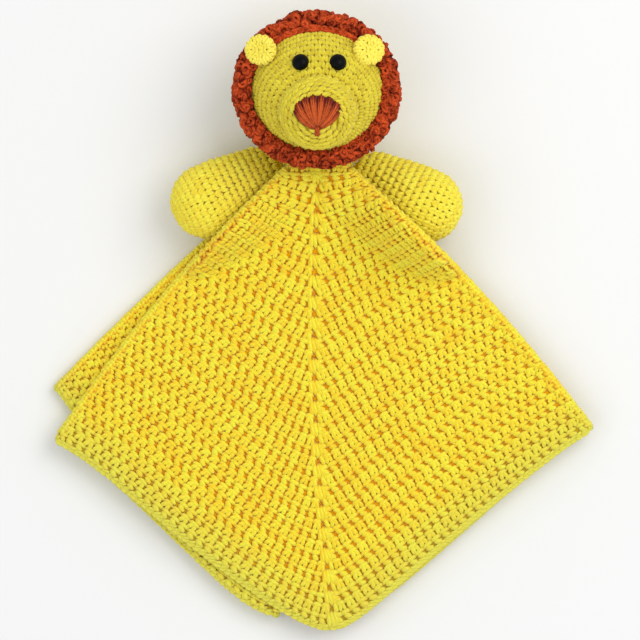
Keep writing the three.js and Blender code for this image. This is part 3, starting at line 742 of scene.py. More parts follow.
class Planter:
    """Plants stitches with one geometry node tree, and keeps the result as a plain mesh."""

    def __init__(self, origin: Origin) -> None:
        """Builds the tree once.

        Args:
            origin: where the toy's frame lies.
        """
        self.origin = origin
        self.tree = bpy.data.node_groups.new("plant_stitches", "GeometryNodeTree")
        self.sockets: dict[str, str] = {}
        self._wire()

    def _wire(self) -> None:
        """Adds the nodes and joins them."""
        tree = self.tree
        for name, kind in (
            ("Places", "Geometry"), ("Stitch", "Object"), ("Looseness", "Float"),
            ("Size change", "Float"), ("Seed", "Int"), ("Yarn", "Material"),
        ):
            socket = tree.interface.new_socket(
                name=name, in_out="INPUT", socket_type=f"NodeSocket{kind}"
            )
            self.sockets[name] = socket.identifier
        tree.interface.new_socket(
            name="Fabric", in_out="OUTPUT", socket_type="NodeSocketGeometry"
        )
        nodes, links = tree.nodes, tree.links
        start = nodes.new("NodeGroupInput")
        end = nodes.new("NodeGroupOutput")

        def named(label: str) -> bpy.types.NodeSocket:
            """The socket that reads a point's own direction or size."""
            node = nodes.new("GeometryNodeInputNamedAttribute")
            node.data_type = "FLOAT_VECTOR"
            node.inputs["Name"].default_value = label
            return usable(node.outputs, "Attribute")

        def chance(low: Value, high: Value, offset: int) -> bpy.types.NodeSocket:
            """A random socket between two sockets or values."""
            node = nodes.new("FunctionNodeRandomValue")
            node.data_type = "FLOAT"
            shift = calc(nodes, links, "ADD", start.outputs["Seed"], offset)
            for label, value in (("Seed", shift), ("Min", low), ("Max", high)):
                feed(links, usable(node.inputs, label), value)
            return usable(node.outputs, "Value")

        source = nodes.new("GeometryNodeObjectInfo")
        source.transform_space = "ORIGINAL"
        links.new(start.outputs["Stitch"], source.inputs["Object"])
        axes = nodes.new("FunctionNodeAxesToRotation")
        axes.primary_axis, axes.secondary_axis = "Z", "X"
        links.new(named("out"), axes.inputs[0])
        links.new(named("row"), axes.inputs[1])
        swing = nodes.new("ShaderNodeCombineXYZ")
        low = calc(nodes, links, "MULTIPLY", start.outputs["Looseness"], -1.0)
        for axis in range(3):
            links.new(chance(low, start.outputs["Looseness"], 11 + axis), swing.inputs[axis])
        turn = nodes.new("FunctionNodeRotateRotation")
        turn.rotation_space = "LOCAL"
        links.new(axes.outputs[0], turn.inputs[0])
        links.new(swing.outputs[0], turn.inputs[1])
        small = calc(nodes, links, "SUBTRACT", 1.0, start.outputs["Size change"])
        large = calc(nodes, links, "ADD", 1.0, start.outputs["Size change"])
        plant = nodes.new("GeometryNodeInstanceOnPoints")
        links.new(start.outputs["Places"], plant.inputs["Points"])
        links.new(source.outputs["Geometry"], plant.inputs["Instance"])
        links.new(turn.outputs[0], plant.inputs["Rotation"])
        scaled = nodes.new("ShaderNodeVectorMath")
        scaled.operation = "SCALE"
        links.new(named("size"), scaled.inputs[0])
        links.new(chance(small, large, 21), scaled.inputs["Scale"])
        links.new(scaled.outputs[0], plant.inputs["Scale"])
        store = nodes.new("GeometryNodeStoreNamedAttribute")
        store.data_type = "FLOAT"
        store.domain = "INSTANCE"
        store.inputs["Name"].default_value = "tint"
        links.new(plant.outputs["Instances"], store.inputs["Geometry"])
        links.new(chance(0.0, 1.0, 31), usable(store.inputs, "Value"))
        real = nodes.new("GeometryNodeRealizeInstances")
        links.new(store.outputs["Geometry"], real.inputs["Geometry"])
        dress = nodes.new("GeometryNodeSetMaterial")
        links.new(real.outputs["Geometry"], dress.inputs["Geometry"])
        links.new(start.outputs["Yarn"], dress.inputs["Material"])
        links.new(dress.outputs["Geometry"], end.inputs[0])

    def plant(
        self,
        name: str,
        fields: Sequence[StitchField],
        finish: YarnFinish,
        body: str,
        loose: float = 0.1,
        change: float = 0.06,
    ) -> bpy.types.Object:
        """Plants the stitches of several fields as one piece.

        Args:
            name: name of the piece.
            fields: the places, one field for each stitch shape.
            finish: the yarn's finish.
            body: the body that the piece rides on.
            loose: how far a stitch may turn, in radians.
            change: how far its size may differ.

        Returns:
            The finished piece.
        """
        parts = []
        for number, places in enumerate(f for f in fields if f.where):
            source = places.shape.source(finish)
            start = places.points(f"{name}_places", self.origin)
            modifier = start.modifiers.new("stitches", "NODES")
            modifier.node_group = self.tree
            values = {
                "Stitch": source,
                "Looseness": loose,
                "Size change": change,
                "Seed": len(name) * 17 + number,
                "Yarn": material_of(finish),
            }
            for label, value in values.items():
                modifier[self.sockets[label]] = value
            start.update_tag()
            graph = bpy.context.evaluated_depsgraph_get()
            made = bpy.data.meshes.new_from_object(start.evaluated_get(graph))
            bpy.data.objects.remove(start)
            bpy.data.objects.remove(source)
            parts.append(made)
        piece = put(name, parts[0])
        if len(parts) > 1:
            others = [put(f"{name}_more", made) for made in parts[1:]]
            with bpy.context.temp_override(
                active_object=piece, selected_editable_objects=[piece, *others]
            ):
                bpy.ops.object.join()
        piece.data.materials.clear()
        piece.data.materials.append(material_of(finish))
        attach(piece, body)
        LOG.info("%s: %d faces", name, len(piece.data.polygons))
        return piece


def usable(sockets: Sequence[bpy.types.NodeSocket], name: str) -> bpy.types.NodeSocket:
    """The enabled socket of a name.

    Args:
        sockets: inputs or outputs of a node.
        name: the socket's name.

    Returns:
        The socket.
    """
    return next(s for s in sockets if s.name == name and s.enabled)


@dataclass
class Ball:
    """A stuffed ellipsoid, turned about the X axis. Millimetres from the neck."""

    centre: Triple
    halves: Triple
    tilt: float = 0.0

    def _turn(self) -> np.ndarray:
        """The turning matrix."""
        c, s = math.cos(self.tilt), math.sin(self.tilt)
        return np.array([[1, 0, 0], [0, c, -s], [0, s, c]])

    def at(self, direction: np.ndarray, grow: float = 0.0) -> tuple[np.ndarray, np.ndarray]:
        """Point and outward direction of the skin, seen along a local direction.

        Args:
            direction: unit vector in the ball's own turned axes.
            grow: how far outside the skin.

        Returns:
            The point and the unit normal.
        """
        halves = np.array(self.halves)
        normal = unit(direction / halves)
        point = direction * halves + normal * grow
        return self._turn() @ point + np.array(self.centre), self._turn() @ normal

    def top(self, x: float, y: float, grow: float = 0.0) -> np.ndarray:
        """The point of the upper skin over a plan point.

        Args:
            x: plan place.
            y: plan place.
            grow: how far outside the skin.

        Returns:
            The point.
        """
        back = self._turn().T
        halves = np.array(self.halves) + grow
        p = back @ (np.array([x, y, 0.0]) - np.array(self.centre)) / halves
        d = back @ UP / halves
        a, b, c = d @ d, 2 * p @ d, p @ p - 1
        return np.array([x, y, (-b + math.sqrt(max(0.0, b * b - 4 * a * c))) / (2 * a)])

    def inside(self, point: np.ndarray, grow: float = 0.0) -> bool:
        """Whether a point lies inside the grown skin."""
        local = self._turn().T @ (np.asarray(point) - np.array(self.centre))
        return float(np.sum((local / (np.array(self.halves) + grow)) ** 2)) < 1

    def shell(self, grow: float, rings: int = 48, sides: int = 96) -> np.ndarray:
        """The skin as a grid of points from pole to pole.

        Args:
            grow: how far outside the skin.
            rings: steps from pole to pole.
            sides: steps round.

        Returns:
            Array of rings, sides and xyz.
        """
        rows = []
        for i in range(rings + 1):
            down = math.pi * min(max(i / rings, 0.002), 0.998)
            row = []
            for j in range(sides):
                turn = TURN * j / sides
                flat = math.sin(down)
                way = (flat * math.cos(turn), flat * math.sin(turn), math.cos(down))
                row.append(self.at(np.array(way), grow)[0])
            rows.append(row)
        return np.array(rows)


def crochet_ball(
    ball: Ball,
    places: StitchField,
    pole: np.ndarray,
    keep: Callable[[np.ndarray], bool],
    grow: float,
) -> None:
    """Fills a field with rounds of stitches that run about a pole.

    Args:
        ball: the stuffed form.
        places: field that takes the stitches.
        pole: unit direction of the first stitch, in the ball's own axes.
        keep: says whether a place is stitched.
        grow: how far outside the skin the stitches sit.
    """
    pole = unit(pole)
    side = unit(np.cross(pole, ACROSS if abs(pole[0]) < 0.9 else FORTH))
    other = np.cross(pole, side)
    mean = sum(ball.halves) / 3
    row = places.shape.row
    for i in range(int(math.pi * mean / row)):
        down = (i + 0.5) * row / mean
        around = max(1, round(TURN * math.sin(down) * mean / places.shape.pitch))
        for j in range(around):
            turn = TURN * (j + (0.5 if i % 2 else 0.0)) / around
            way = toward(down, pole, toward(turn, side, other))
            point, normal = ball.at(unit(way), grow)
            if not keep(point):
                continue
            ahead = way + 0.02 * toward(turn, other, -side)
            tip, _ = ball.at(unit(ahead), grow)
            places.add(point, normal, tip - point)


@dataclass
class Head:
    """The stuffed head: ball, muzzle, nose, mouth, eyes, ears and mane. In millimetres."""

    origin: Origin
    planter: Planter
    body: str = "head"
    rise: float = 43.4
    halves: Triple = (42.0, 39.5, 40.5)
    rest_cut: float = 0.5
    muzzle_tilt: float = math.radians(23)
    muzzle_halves: Triple = (21.7, 21.5, 14.0)
    muzzle_sink: float = 2.0
    muzzle_whips: int = 44
    base_sink: float = 0.6
    floor_bare: float = 3.0
    seat: float = -0.9
    nose_strands: int = 33
    nose_bundles: int = 8
    nose_reach: float = 15.0
    nose_spread: float = math.radians(80)
    eye_spacing: float = 23.0
    eye_shift: float = 0.75
    eye_rise: float = 16.4
    eye_radius: float = 5.0
    eye_dome: float = 4.2
    ear_radius: float = 8.5
    ear_offset: float = 33.2
    ear_shift: float = -2.0
    ear_rise: float = 24.2
    ear_height: float = 65.5
    ear_lean: float = math.radians(24)
    ear_rounds: tuple[float, ...] = (0.16, 0.48, 0.78, 0.98)
    ear_whips: int = 8
    mane_curls: int = 34
    mane_loops: int = 9
    mane_inner: int = 48
    mane_inner_top: float = 0.7
    mane_chain: int = 66
    mane_chain_foot: float = 0.66
    mane_halves: tuple[float, float] = (46.0, 42.6)
    mane_shift: float = -0.9
    mane_height: float = 52.5
    neck_ring: float = 15.8
    neck_whips: int = 24

    def __post_init__(self) -> None:
        """Works out the ball and the muzzle from the sizes."""
        self.ball = Ball((0, self.rise, self.halves[2] - self.rest_cut), self.halves)
        reach = (self.halves[1] - self.muzzle_sink, self.halves[2] - self.muzzle_sink)
        self.muzzle = Ball(
            (
                0,
                self.rise - reach[0] * math.sin(self.muzzle_tilt),
                self.ball.centre[2] + reach[1] * math.cos(self.muzzle_tilt),
            ),
            self.muzzle_halves,
            self.muzzle_tilt,
        )
        self.nose_foot = np.array([-0.5, self.muzzle.centre[1] - 4.1])

    def build(self) -> None:
        """Makes every piece of the head."""
        self._cover()
        self._muzzle()
        self._nose()
        self._mouth()
        self._eyes()
        for side, word in ((-1, "left"), (1, "right")):
            self._ear(side, word)
        self._mane()
        self._curls()
        self._neck_seam()

    def _cover(self) -> None:
        """The crocheted ball and its rounds of stitches."""
        skin = Skin()
        shell = self.ball.shell(-self.base_sink)
        shell[..., 2] = np.maximum(shell[..., 2], 0.05)
        skin.closed(shell)
        cover = skin.build("head_crochet_base", BODY_HOLE_SHADE, self.origin)
        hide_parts("head_cover")
        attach(cover, self.body)
        places = StitchField(HEAD_ROUND)

        def keep(point: np.ndarray) -> bool:
            """Leaves the places under the muzzle and on the floor bare."""
            return not self.muzzle.inside(point, -1.5) and not point[2] < self.floor_bare

        way = np.array([0, -math.sin(self.muzzle_tilt), math.cos(self.muzzle_tilt)])
        crochet_ball(self.ball, places, way, keep, self.seat)
        made = self.planter.plant("head_stitches", [places], SHADED_HEAD_YARN, self.body)

    def _muzzle(self) -> None:
        """The dome of the muzzle with its round ridges."""
        skin = Skin()
        skin.closed(self.muzzle.shell(-0.35, 32, 64))
        dome = skin.build("muzzle_crochet_base", BODY_HOLE_SHADE, self.origin)
        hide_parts("muzzle_cover")
        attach(dome, self.body)
        places = StitchField(MUZZLE_ROUND)

        def keep(point: np.ndarray) -> bool:
            """Stitches only what stands out of the head, outside the nose."""
            middle = self.muzzle.centre[1] + 0.6
            nose = math.hypot((point[0] + 0.5) / 12.5, (point[1] - middle) / 8.6) < 1
            return not nose and not self.ball.inside(point, 0.3)

        crochet_ball(self.muzzle, places, UP, keep, self.seat)
        seam = StitchField(MUZZLE_WHIP)
        for i in range(self.muzzle_whips):
            turn = TURN * i / self.muzzle_whips
            point, normal = self._foot(turn)
            ahead, _ = self._foot(turn + 0.05)
            seam.add(point, normal, ahead - point)
        made = self.planter.plant("muzzle_stitches", [places], SHADED_HEAD_YARN, self.body)
        sewn = self.planter.plant("muzzle_seam_stitches", [seam], SHADED_HEAD_YARN, self.body)
        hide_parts("muzzle_seam")

    def _foot(self, turn: float) -> tuple[np.ndarray, np.ndarray]:
        """Place in the corner between muzzle and face, along a plan direction.

        Args:
            turn: the direction, in radians.

        Returns:
            The point and the outward direction.
        """
        centre = self.muzzle.centre
        reach, farthest, step = 10.0, 44.0, 0.2
        while reach < farthest:
            x = centre[0] + reach * math.cos(turn)
            y = centre[1] + reach * math.sin(turn)
            point = self.ball.top(x, y, 0.6)
            if not self.muzzle.inside(point, 0.5):
                break
            reach += step
        return point, unit(point - np.array(self.ball.centre))

    def _nose(self) -> None:
        """The fan of satin stitches, with painted shade: a dark bed under them and dark ends where
        they dip in.
        """
        tip = self.nose_foot + (0, -6.2)
        rng = np.random.default_rng(7)
        skin, ends = Skin(), Skin()
        for i in range(self.nose_strands):
            part = (i + 0.5) / self.nose_strands
            spread = part * 2 - 1
            turn = spread * self.nose_spread
            bundle = abs(math.sin(math.pi * part * self.nose_bundles)) ** 0.8
            reach = self.nose_reach * (1 + 0.72 * spread**2 - 0.98 * spread**4)
            reach += 2.4 * bundle - 1.6 + rng.uniform(-0.3, 0.3)
            end = self.nose_foot + reach * np.array([math.sin(turn), math.cos(turn)])
            path = []
            for k in range(9):
                share = 0.03 + 0.97 * k / 8
                flat = tip + (end - tip) * share
                bow = 0.13 * spread * math.sin(math.pi * share)
                flat = flat + np.array([end[1] - tip[1], tip[0] - end[0]]) * bow
                lift = 2.1 * math.sin(math.pi * min(1, 0.14 + share * 0.72)) ** 0.6
                lift += (1.7 * bundle - 1.0) * share + rng.uniform(-0.15, 0.15)
                path.append(self.muzzle.top(*flat, lift if 0 < k < 8 else 0.3))
            # Painted light along each strand: darker at both ends where it dips in, lighter over
            # its arch and on the bundles' crests, over a random tone.
            tone_and_crest_light = rng.uniform(-0.9, 0.9) + 1.2 * bundle
            skin.tint = tone_and_crest_light + np.array([-1.2, -0.5, 0, 0.3, 0.5, 0.3, -0.3, -1.6, -3.0])
            skin.tube(path, [0.4, *[0.62] * 7, 0.5], 6)
            # Painted shade between the strands: a dark bed just beneath each one.
            ends.tube([p - (0, 0, 0.75) for p in path], 0.85, 5)
            # Painted shade at the strand's end, where it dips into the muzzle.
            last, before = np.array(path[-1]), np.array(path[-2])
            ends.tube([before * 0.4 + last * 0.6, last, last + (last - before) * 0.1], 0.7, 5)
        nose = skin.build("nose_satin", NOSE_YARN, self.origin)
        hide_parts("nose_embroidery")
        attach(nose, self.body)
        dark = ends.build("nose_stitch_ends", NOSE_SHADE, self.origin)
        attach(dark, self.body)

    def _mouth(self) -> None:
        """The upright stitch under the nose, of two strands."""
        foot = self.nose_foot
        mouth = Skin()
        for shift in (-0.62, 0.62):
            path = []
            for k in range(7):
                y = foot[1] - 4.4 - 6.0 * k / 6
                lift = 2.2 * math.sin(math.pi * (0.1 + 0.8 * k / 6))
                path.append(self.muzzle.top(foot[0] + shift, y, lift))
            mouth.tube(path, [0.6, 0.85, 0.95, 0.95, 0.95, 0.85, 0.5], 8)
        stitch = mouth.build("mouth_yarn", NOSE_YARN, self.origin)
        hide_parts("mouth_stitch")
        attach(stitch, self.body)

    def _eyes(self) -> None:
        """The two glossy black domes on their rims."""
        for side, word in ((-1, "left"), (1, "right")):
            x = self.eye_shift + side * self.eye_spacing / 2
            point = self.ball.top(x, self.rise + self.eye_rise, 1.5)
            out = unit((point - np.array(self.ball.centre)) / np.array(self.halves) ** 2)
            across = unit(np.cross(out, FORTH))
            up = np.cross(out, across)
            r = self.eye_radius
            profile = [(r * 0.9, -1.2), (r * 1.04, -0.9), (r * 1.06, -0.35), (r * 1.05, 0.0)]
            for i in range(1, 12):
                turn = math.pi / 2 * i / 12
                profile.append((r * 1.05 * math.cos(turn), self.eye_dome * math.sin(turn)))
            profile.append((0.03, self.eye_dome))
            ring = ring_of(40, across, up)
            rows = [point + out * height + radius * ring for radius, height in profile]
            skin = Skin()
            skin.closed(np.array(rows)[::-1])
            eye = skin.build(f"{word}_safety_eye", EYE_BLACK, self.origin)
            fix_normals(eye)
            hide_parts(f"{word}_eye")
            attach(eye, self.body)

    def _ear(self, side: int, word: str) -> None:
        """One ear: a thick dished disc, worked in rounds.

        Args:
            side: -1 for the left ear, 1 for the right one.
            word: left or right.
        """
        x, y = side * self.ear_offset + self.ear_shift, self.rise + self.ear_rise
        centre = np.array([x, y, self.ear_height])
        out = np.array([side * math.sin(self.ear_lean), 0.0, math.cos(self.ear_lean)])
        across = np.array([math.cos(self.ear_lean), 0.0, -side * math.sin(self.ear_lean)])
        up = 0.9 * FORTH
        profile = [(0.05, -1.6), (0.78, -1.6), (0.93, -0.9), (0.96, 0.0), (0.9, 1.0)]
        profile += [(0.72, 1.3), (0.35, 0.5), (0.03, 0.3)]
        ring = ring_of(48, across, up)
        rows = [centre + out * h + self.ear_radius * r * ring for r, h in profile]
        skin = Skin()
        skin.closed(np.array(rows), turned=True)
        disc = skin.build(f"{word}_ear_base", EAR_HOLE_SHADE, self.origin)
        fix_normals(disc)
        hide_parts(f"{word}_ear")
        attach(disc, self.body)
        places = StitchField(EAR_ROUND)
        for facing in (1, -1):
            for i, share in enumerate(self.ear_rounds):
                radius = self.ear_radius * share
                count = max(3, round(TURN * radius / 4.1))
                for j in range(count):
                    turn = TURN * (j + 0.5 * (i % 2)) / count
                    flat = toward(turn, across, up)
                    rim = share > 0.9
                    point = centre + out * (0.35 if rim else 0.9) * facing + radius * flat
                    if self.ball.inside(point, 0.2):
                        continue
                    face = out * facing + flat * (0.9 if rim else 0.15)
                    places.add(point, face, toward(turn, up, -across) * facing)
        made = self.planter.plant(f"{word}_ear_stitches", [places], EAR_YARN, self.body)
        self._ear_seam(side, word, centre)

    def _ear_seam(self, side: int, word: str, centre: np.ndarray) -> None:
        """The sewing yarn along the foot of one ear.

        Args:
            side: -1 for the left ear, 1 for the right one.
            word: left or right.
            centre: middle of the ear.
        """
        seam = StitchField(EAR_WHIP)
        inward = math.atan2(-self.ear_rise, -side * self.ear_offset)
        for i in range(self.ear_whips):
            turn = inward + (i / (self.ear_whips - 1) * 2 - 1) * 0.8
            x = centre[0] + math.cos(turn) * (self.ear_radius + 0.3)
            y = centre[1] + math.sin(turn) * (self.ear_radius + 0.3)
            point = self.ball.top(x, y, 0.7)
            normal = point - np.array(self.ball.centre)
            seam.add(point, normal, (-math.sin(turn), math.cos(turn), 0))
        sewn = self.planter.plant(f"{word}_ear_sewing", [seam], EAR_YARN, self.body)
        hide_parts(f"{word}_ear_seam")

    def _ring(self, turn: float, wide: float, deep: float) -> np.ndarray:
        """A place on the mane.

        Args:
            turn: angle round the face.
            wide: how far outside the mane's middle line.
            deep: how far above it.

        Returns:
            The point.
        """
        x = self.mane_shift + (self.mane_halves[0] + wide) * math.cos(turn)
        y = self.rise + (self.mane_halves[1] + wide) * math.sin(turn)
        return np.array([x, y, self.mane_height + deep])

    def _mane(self) -> None:
        """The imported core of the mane."""
        core = Skin()
        sides, steps = 12, 96
        rolls = [TURN * j / sides for j in range(sides)]
        rows = [
            [self._ring(TURN * i / steps, 4.6 * math.cos(a), 5.6 * math.sin(a)) for a in rolls]
            for i in range(steps)
        ]
        core.grid(np.array(rows), round_i=True, round_j=True)
        base = core.build("mane_core", MANE_HOLE_SHADE, self.origin)
        fix_normals(base)
        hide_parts("mane")
        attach(base, self.body)

    def _curls(self) -> None:
        """The rust curls in layers, the small loops among them and the chain along the face."""
        rng = np.random.default_rng(31)
        curls = StitchField(MANE_CURL)
        layers = ((2.6, 4.6, 0.7, 0.0), (-1.2, 5.8, 0.9, 0.5))
        layers += ((3.4, 0.4, 0.15, 0.5), (2.2, -4.4, -0.7, 0.0))
        for wide, deep, tip, stagger in layers:
            for i in range(self.mane_curls):
                turn = TURN * (i + stagger + rng.uniform(-0.12, 0.12)) / self.mane_curls
                flat = toward(turn, ACROSS, FORTH)
                out = flat * (1 - abs(tip)) + UP * tip + rng.normal(0, 0.25, 3)
                size = rng.uniform(0.84, 1.08)
                where = self._ring(turn, wide + rng.uniform(-1.0, 0.8), deep)
                curls.add(where, out, rng.normal(0, 1, 3), (size, size, size))
        inner = StitchField(MANE_LOOP)
        for _ in range(self.mane_loops * self.mane_curls):
            turn = TURN * rng.uniform(0, 1)
            roll = rng.uniform(-1.2, 2.6)
            where = self._ring(turn, 4.2 * math.cos(roll), 5.8 * math.sin(roll))
            out = toward(roll, toward(turn, ACROSS, FORTH), UP)
            inner.add(where, out + rng.normal(0, 0.35, 3), rng.normal(0, 1, 3))
        for i in range(self.mane_inner):
            turn = TURN * (i + rng.uniform(-0.25, 0.25)) / self.mane_inner
            if math.sin(turn) > self.mane_inner_top:
                continue
            size = rng.uniform(0.66, 0.82)
            where = self._ring(turn, rng.uniform(-4.2, -3.4), 4.8)
            out = UP - 0.3 * toward(turn, ACROSS, FORTH)
            curls.add(where, out, rng.normal(0, 1, 3), (size, size, size))
        chain = StitchField(MANE_CHAIN)
        for i in range(self.mane_chain):
            turn = TURN * i / self.mane_chain
            if math.sin(turn) < self.mane_chain_foot:
                continue
            where = self._ring(turn, -4.9, 6.0)
            ahead = self._ring(turn + 0.02, -4.9, 6.4) - where
            out = UP - 0.15 * toward(turn, ACROSS, FORTH)
            chain.add(where, out, np.cross(ahead, UP))
        made = self.planter.plant(
            "mane_curls", [curls, inner, chain], MANE_YARN, self.body, loose=0.25, change=0.08
        )

    def _neck_seam(self) -> None:
        """The sewing yarn that holds the head on the gathered centre."""
        centre = np.array(self.ball.centre)
        seat = centre + NECK_OUT * np.array([1, self.halves[1], self.halves[2]])
        seam = StitchField(NECK_WHIP)
        for i in range(self.neck_whips):
            turn = TURN * i / self.neck_whips
            flat = toward(turn, ACROSS, NECK_UP)
            way = (seat + flat * self.neck_ring - centre) / np.array(self.halves)
            point, normal = self.ball.at(unit(way), 1.2)
            seam.add(point, normal, toward(turn, NECK_UP, -ACROSS))
        sewn = self.planter.plant("neck_sewing", [seam], BODY_YARN, "blanket_body")
        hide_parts("neck_seam")


def fix_normals(piece: bpy.types.Object) -> None:
    """Turns a closed piece's faces outward.

    Args:
        piece: the object.
    """
    work = bmesh.new()
    work.from_mesh(piece.data)
    bmesh.ops.recalc_face_normals(work, faces=work.faces)
    work.to_mesh(piece.data)
    work.free()
    piece.data.update()


@dataclass
class Arm:
    """One stuffed arm: a flat root that swells to a round hand. Lengths in millimetres."""

    origin: Origin
    planter: Planter
    word: str
    side: int
    pivot: tuple[float, float]
    angle: float
    hand: float = 22.0
    hand_deep: float = 17.6
    root: float = 15.5
    root_deep: float = 5.6
    reach: float = 36.5
    floor: float = 7.1
    stitch: float = 4.4
    yarn: float = 3.0
    seat: float = -0.8
    whips: int = 7
    cloth_reach: float = 20.0
    cloth_thick: float = 3.0
    cloth_level: float = 7.6

    def __post_init__(self) -> None:
        """Works out the arm's own directions."""
        self.along = np.array([self.side * math.cos(self.angle), -math.sin(self.angle), 0.0])
        self.across = self.side * np.array([-self.along[1], self.along[0], 0.0])

    def section(self, s: float | np.ndarray) -> tuple[np.ndarray, np.ndarray]:
        """Half width and half depth.

        Args:
            s: distances from the pivot.

        Returns:
            The two sizes.
        """
        t = np.clip((s + self.root) / (self.reach + self.root), 0, 1)
        share = t * t * (3 - 2 * t)
        wide = self.root + (self.hand - self.root) * share
        return wide, self.root_deep + (self.hand_deep - self.root_deep) * share

    def skin_at(self, s: float, turn: float, grow: float) -> tuple[np.ndarray, np.ndarray]:
        """Point and normal of the skin.

        Args:
            s: distance from the pivot, past the ends on the round caps.
            turn: angle round the arm.
            grow: how far outside the skin.

        Returns:
            The point and the unit normal.
        """
        wide, deep = self.section(s)
        lean = 0.0
        if s > self.reach:
            lean = min(1.0, (s - self.reach) / self.hand)
        elif s < 0:
            lean = -min(1.0, -s / self.root)
        scale = math.sqrt(max(0.0, 1 - lean * lean))
        c, k = math.cos(turn), math.sin(turn)
        base = np.array([*self.pivot, self.floor + deep]) + self.along * s
        point = base + self.across * c * wide * scale + np.array([0, 0, k * deep * scale])
        normal = self.across * c * scale * deep / wide + np.array([0, 0, k * scale])
        normal = normal + self.along * lean
        normal /= np.linalg.norm(normal) + 1e-9
        return point + normal * grow, normal

    def cloth(self, x: np.ndarray, y: np.ndarray) -> np.ndarray:
        """How far cloth is lifted to pass over the arm.

        Args:
            x: plan places.
            y: plan places.

        Returns:
            The heights.
        """
        s = (x - self.pivot[0]) * self.along[0] + (y - self.pivot[1]) * self.along[1]
        n = (x - self.pivot[0]) * self.across[0] + (y - self.pivot[1]) * self.across[1]
        wide, deep = self.section(s)
        side = np.abs(n) / (wide + self.cloth_reach)
        before = np.maximum(0, -self.root - s) / self.cloth_reach
        past = np.maximum(0, s - self.reach - self.hand * 0.8) / (1.5 * self.cloth_reach)
        near = np.maximum(0, 1 - side**2 - before**2 - past**2)
        lift = self.floor + 2 * deep + self.cloth_thick - self.cloth_level
        return lift * near * near * (3 - 2 * near)

    def build(self) -> None:
        """Makes the arm's cover, its stitches and its sewing."""
        self._cover(f"{self.word}_arm")
        self._stitches(f"{self.word}_arm")
        self._seam()

    def _cover(self, body: str) -> None:
        """The base skin, from the flat root to the round hand.

        Args:
            body: the body that it rides on.
        """
        quarter_turn = [math.pi / 2 * i / 8 for i in range(1, 8)]
        stations = [-self.root * 0.998, *(-self.root * math.cos(a) for a in quarter_turn)]
        stations += [self.reach * i / 12 for i in range(13)]
        stations += [self.reach + self.hand * math.sin(a) for a in quarter_turn]
        stations.append(self.reach + self.hand * 0.998)
        rows = [[self.skin_at(s, TURN * j / 48, -0.9)[0] for j in range(48)] for s in stations]
        skin = Skin()
        skin.closed(np.array(rows))
        cover = skin.build(f"{self.word}_arm_base", BODY_HOLE_SHADE, self.origin)
        fix_normals(cover)
        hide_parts(f"{self.word}_arm_cover")
        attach(cover, body)

    def _stitches(self, body: str) -> None:
        """The rounds of stitches, from the hand to the root.

        Args:
            body: the body that they ride on.
        """
        places = StitchField(StitchShape(StitchKind.SMALL, self.stitch, self.stitch, self.yarn))
        s, number = self.reach + self.hand - 0.6, 0
        while s > -self.root + 3:
            ring = [self.skin_at(s, TURN * j / 60, 0)[0] for j in range(60)]
            gaps = [np.linalg.norm(ring[j] - ring[j - 1]) for j in range(60)]
            length, steps = sum(gaps), np.cumsum([0, *gaps[1:]])
            count = max(1, round(length / self.stitch))
            for j in range(count):
                want = length * ((j + 0.5 * (number % 2)) % count) / count
                turn = TURN * float(np.interp(want, steps, np.arange(60))) / 60
                point, normal = self.skin_at(s, turn, self.seat)
                ahead, _ = self.skin_at(s, turn + 0.05, self.seat)
                places.add(point, normal, ahead - point)
            lean = max(0.0, (s - self.reach) / self.hand)
            s -= self.stitch * 0.97 * max(0.3, math.sqrt(max(0.0, 1 - min(1, lean) ** 2)))
            number += 1
        made = self.planter.plant(f"{self.word}_arm_stitches", [places], BODY_YARN, body)

    def _seam(self) -> None:
        """The sewing yarn round the flat root."""
        seam = StitchField(ARM_WHIP)
        for i in range(self.whips):
            turn = (i / (self.whips - 1) * 2 - 1) * 0.5
            where = np.array([*self.pivot, self.floor + self.root_deep])
            where = where - self.along * math.cos(turn) * (self.root + 1.1)
            where = where + self.across * math.sin(turn) * (self.root + 1.1)
            seam.add(where, UP, self.across)
        sewn = self.planter.plant(f"{self.word}_arm_sewing", [seam], BODY_YARN, "blanket_body")
        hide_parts(f"{self.word}_arm_seam")


def painted_rim_amount(out: np.ndarray | float) -> np.ndarray:
    """How much painted rim shade the yarn takes at a share from the neck, 0, to the free edge, 1: a
    paler, greener tone for the edge's fainter light and missing orange bounce light.
    """
    start, length, most = 0.88, 0.12, 0.75
    return most * np.clip((np.asarray(out, float) - start) / length, 0, 1)


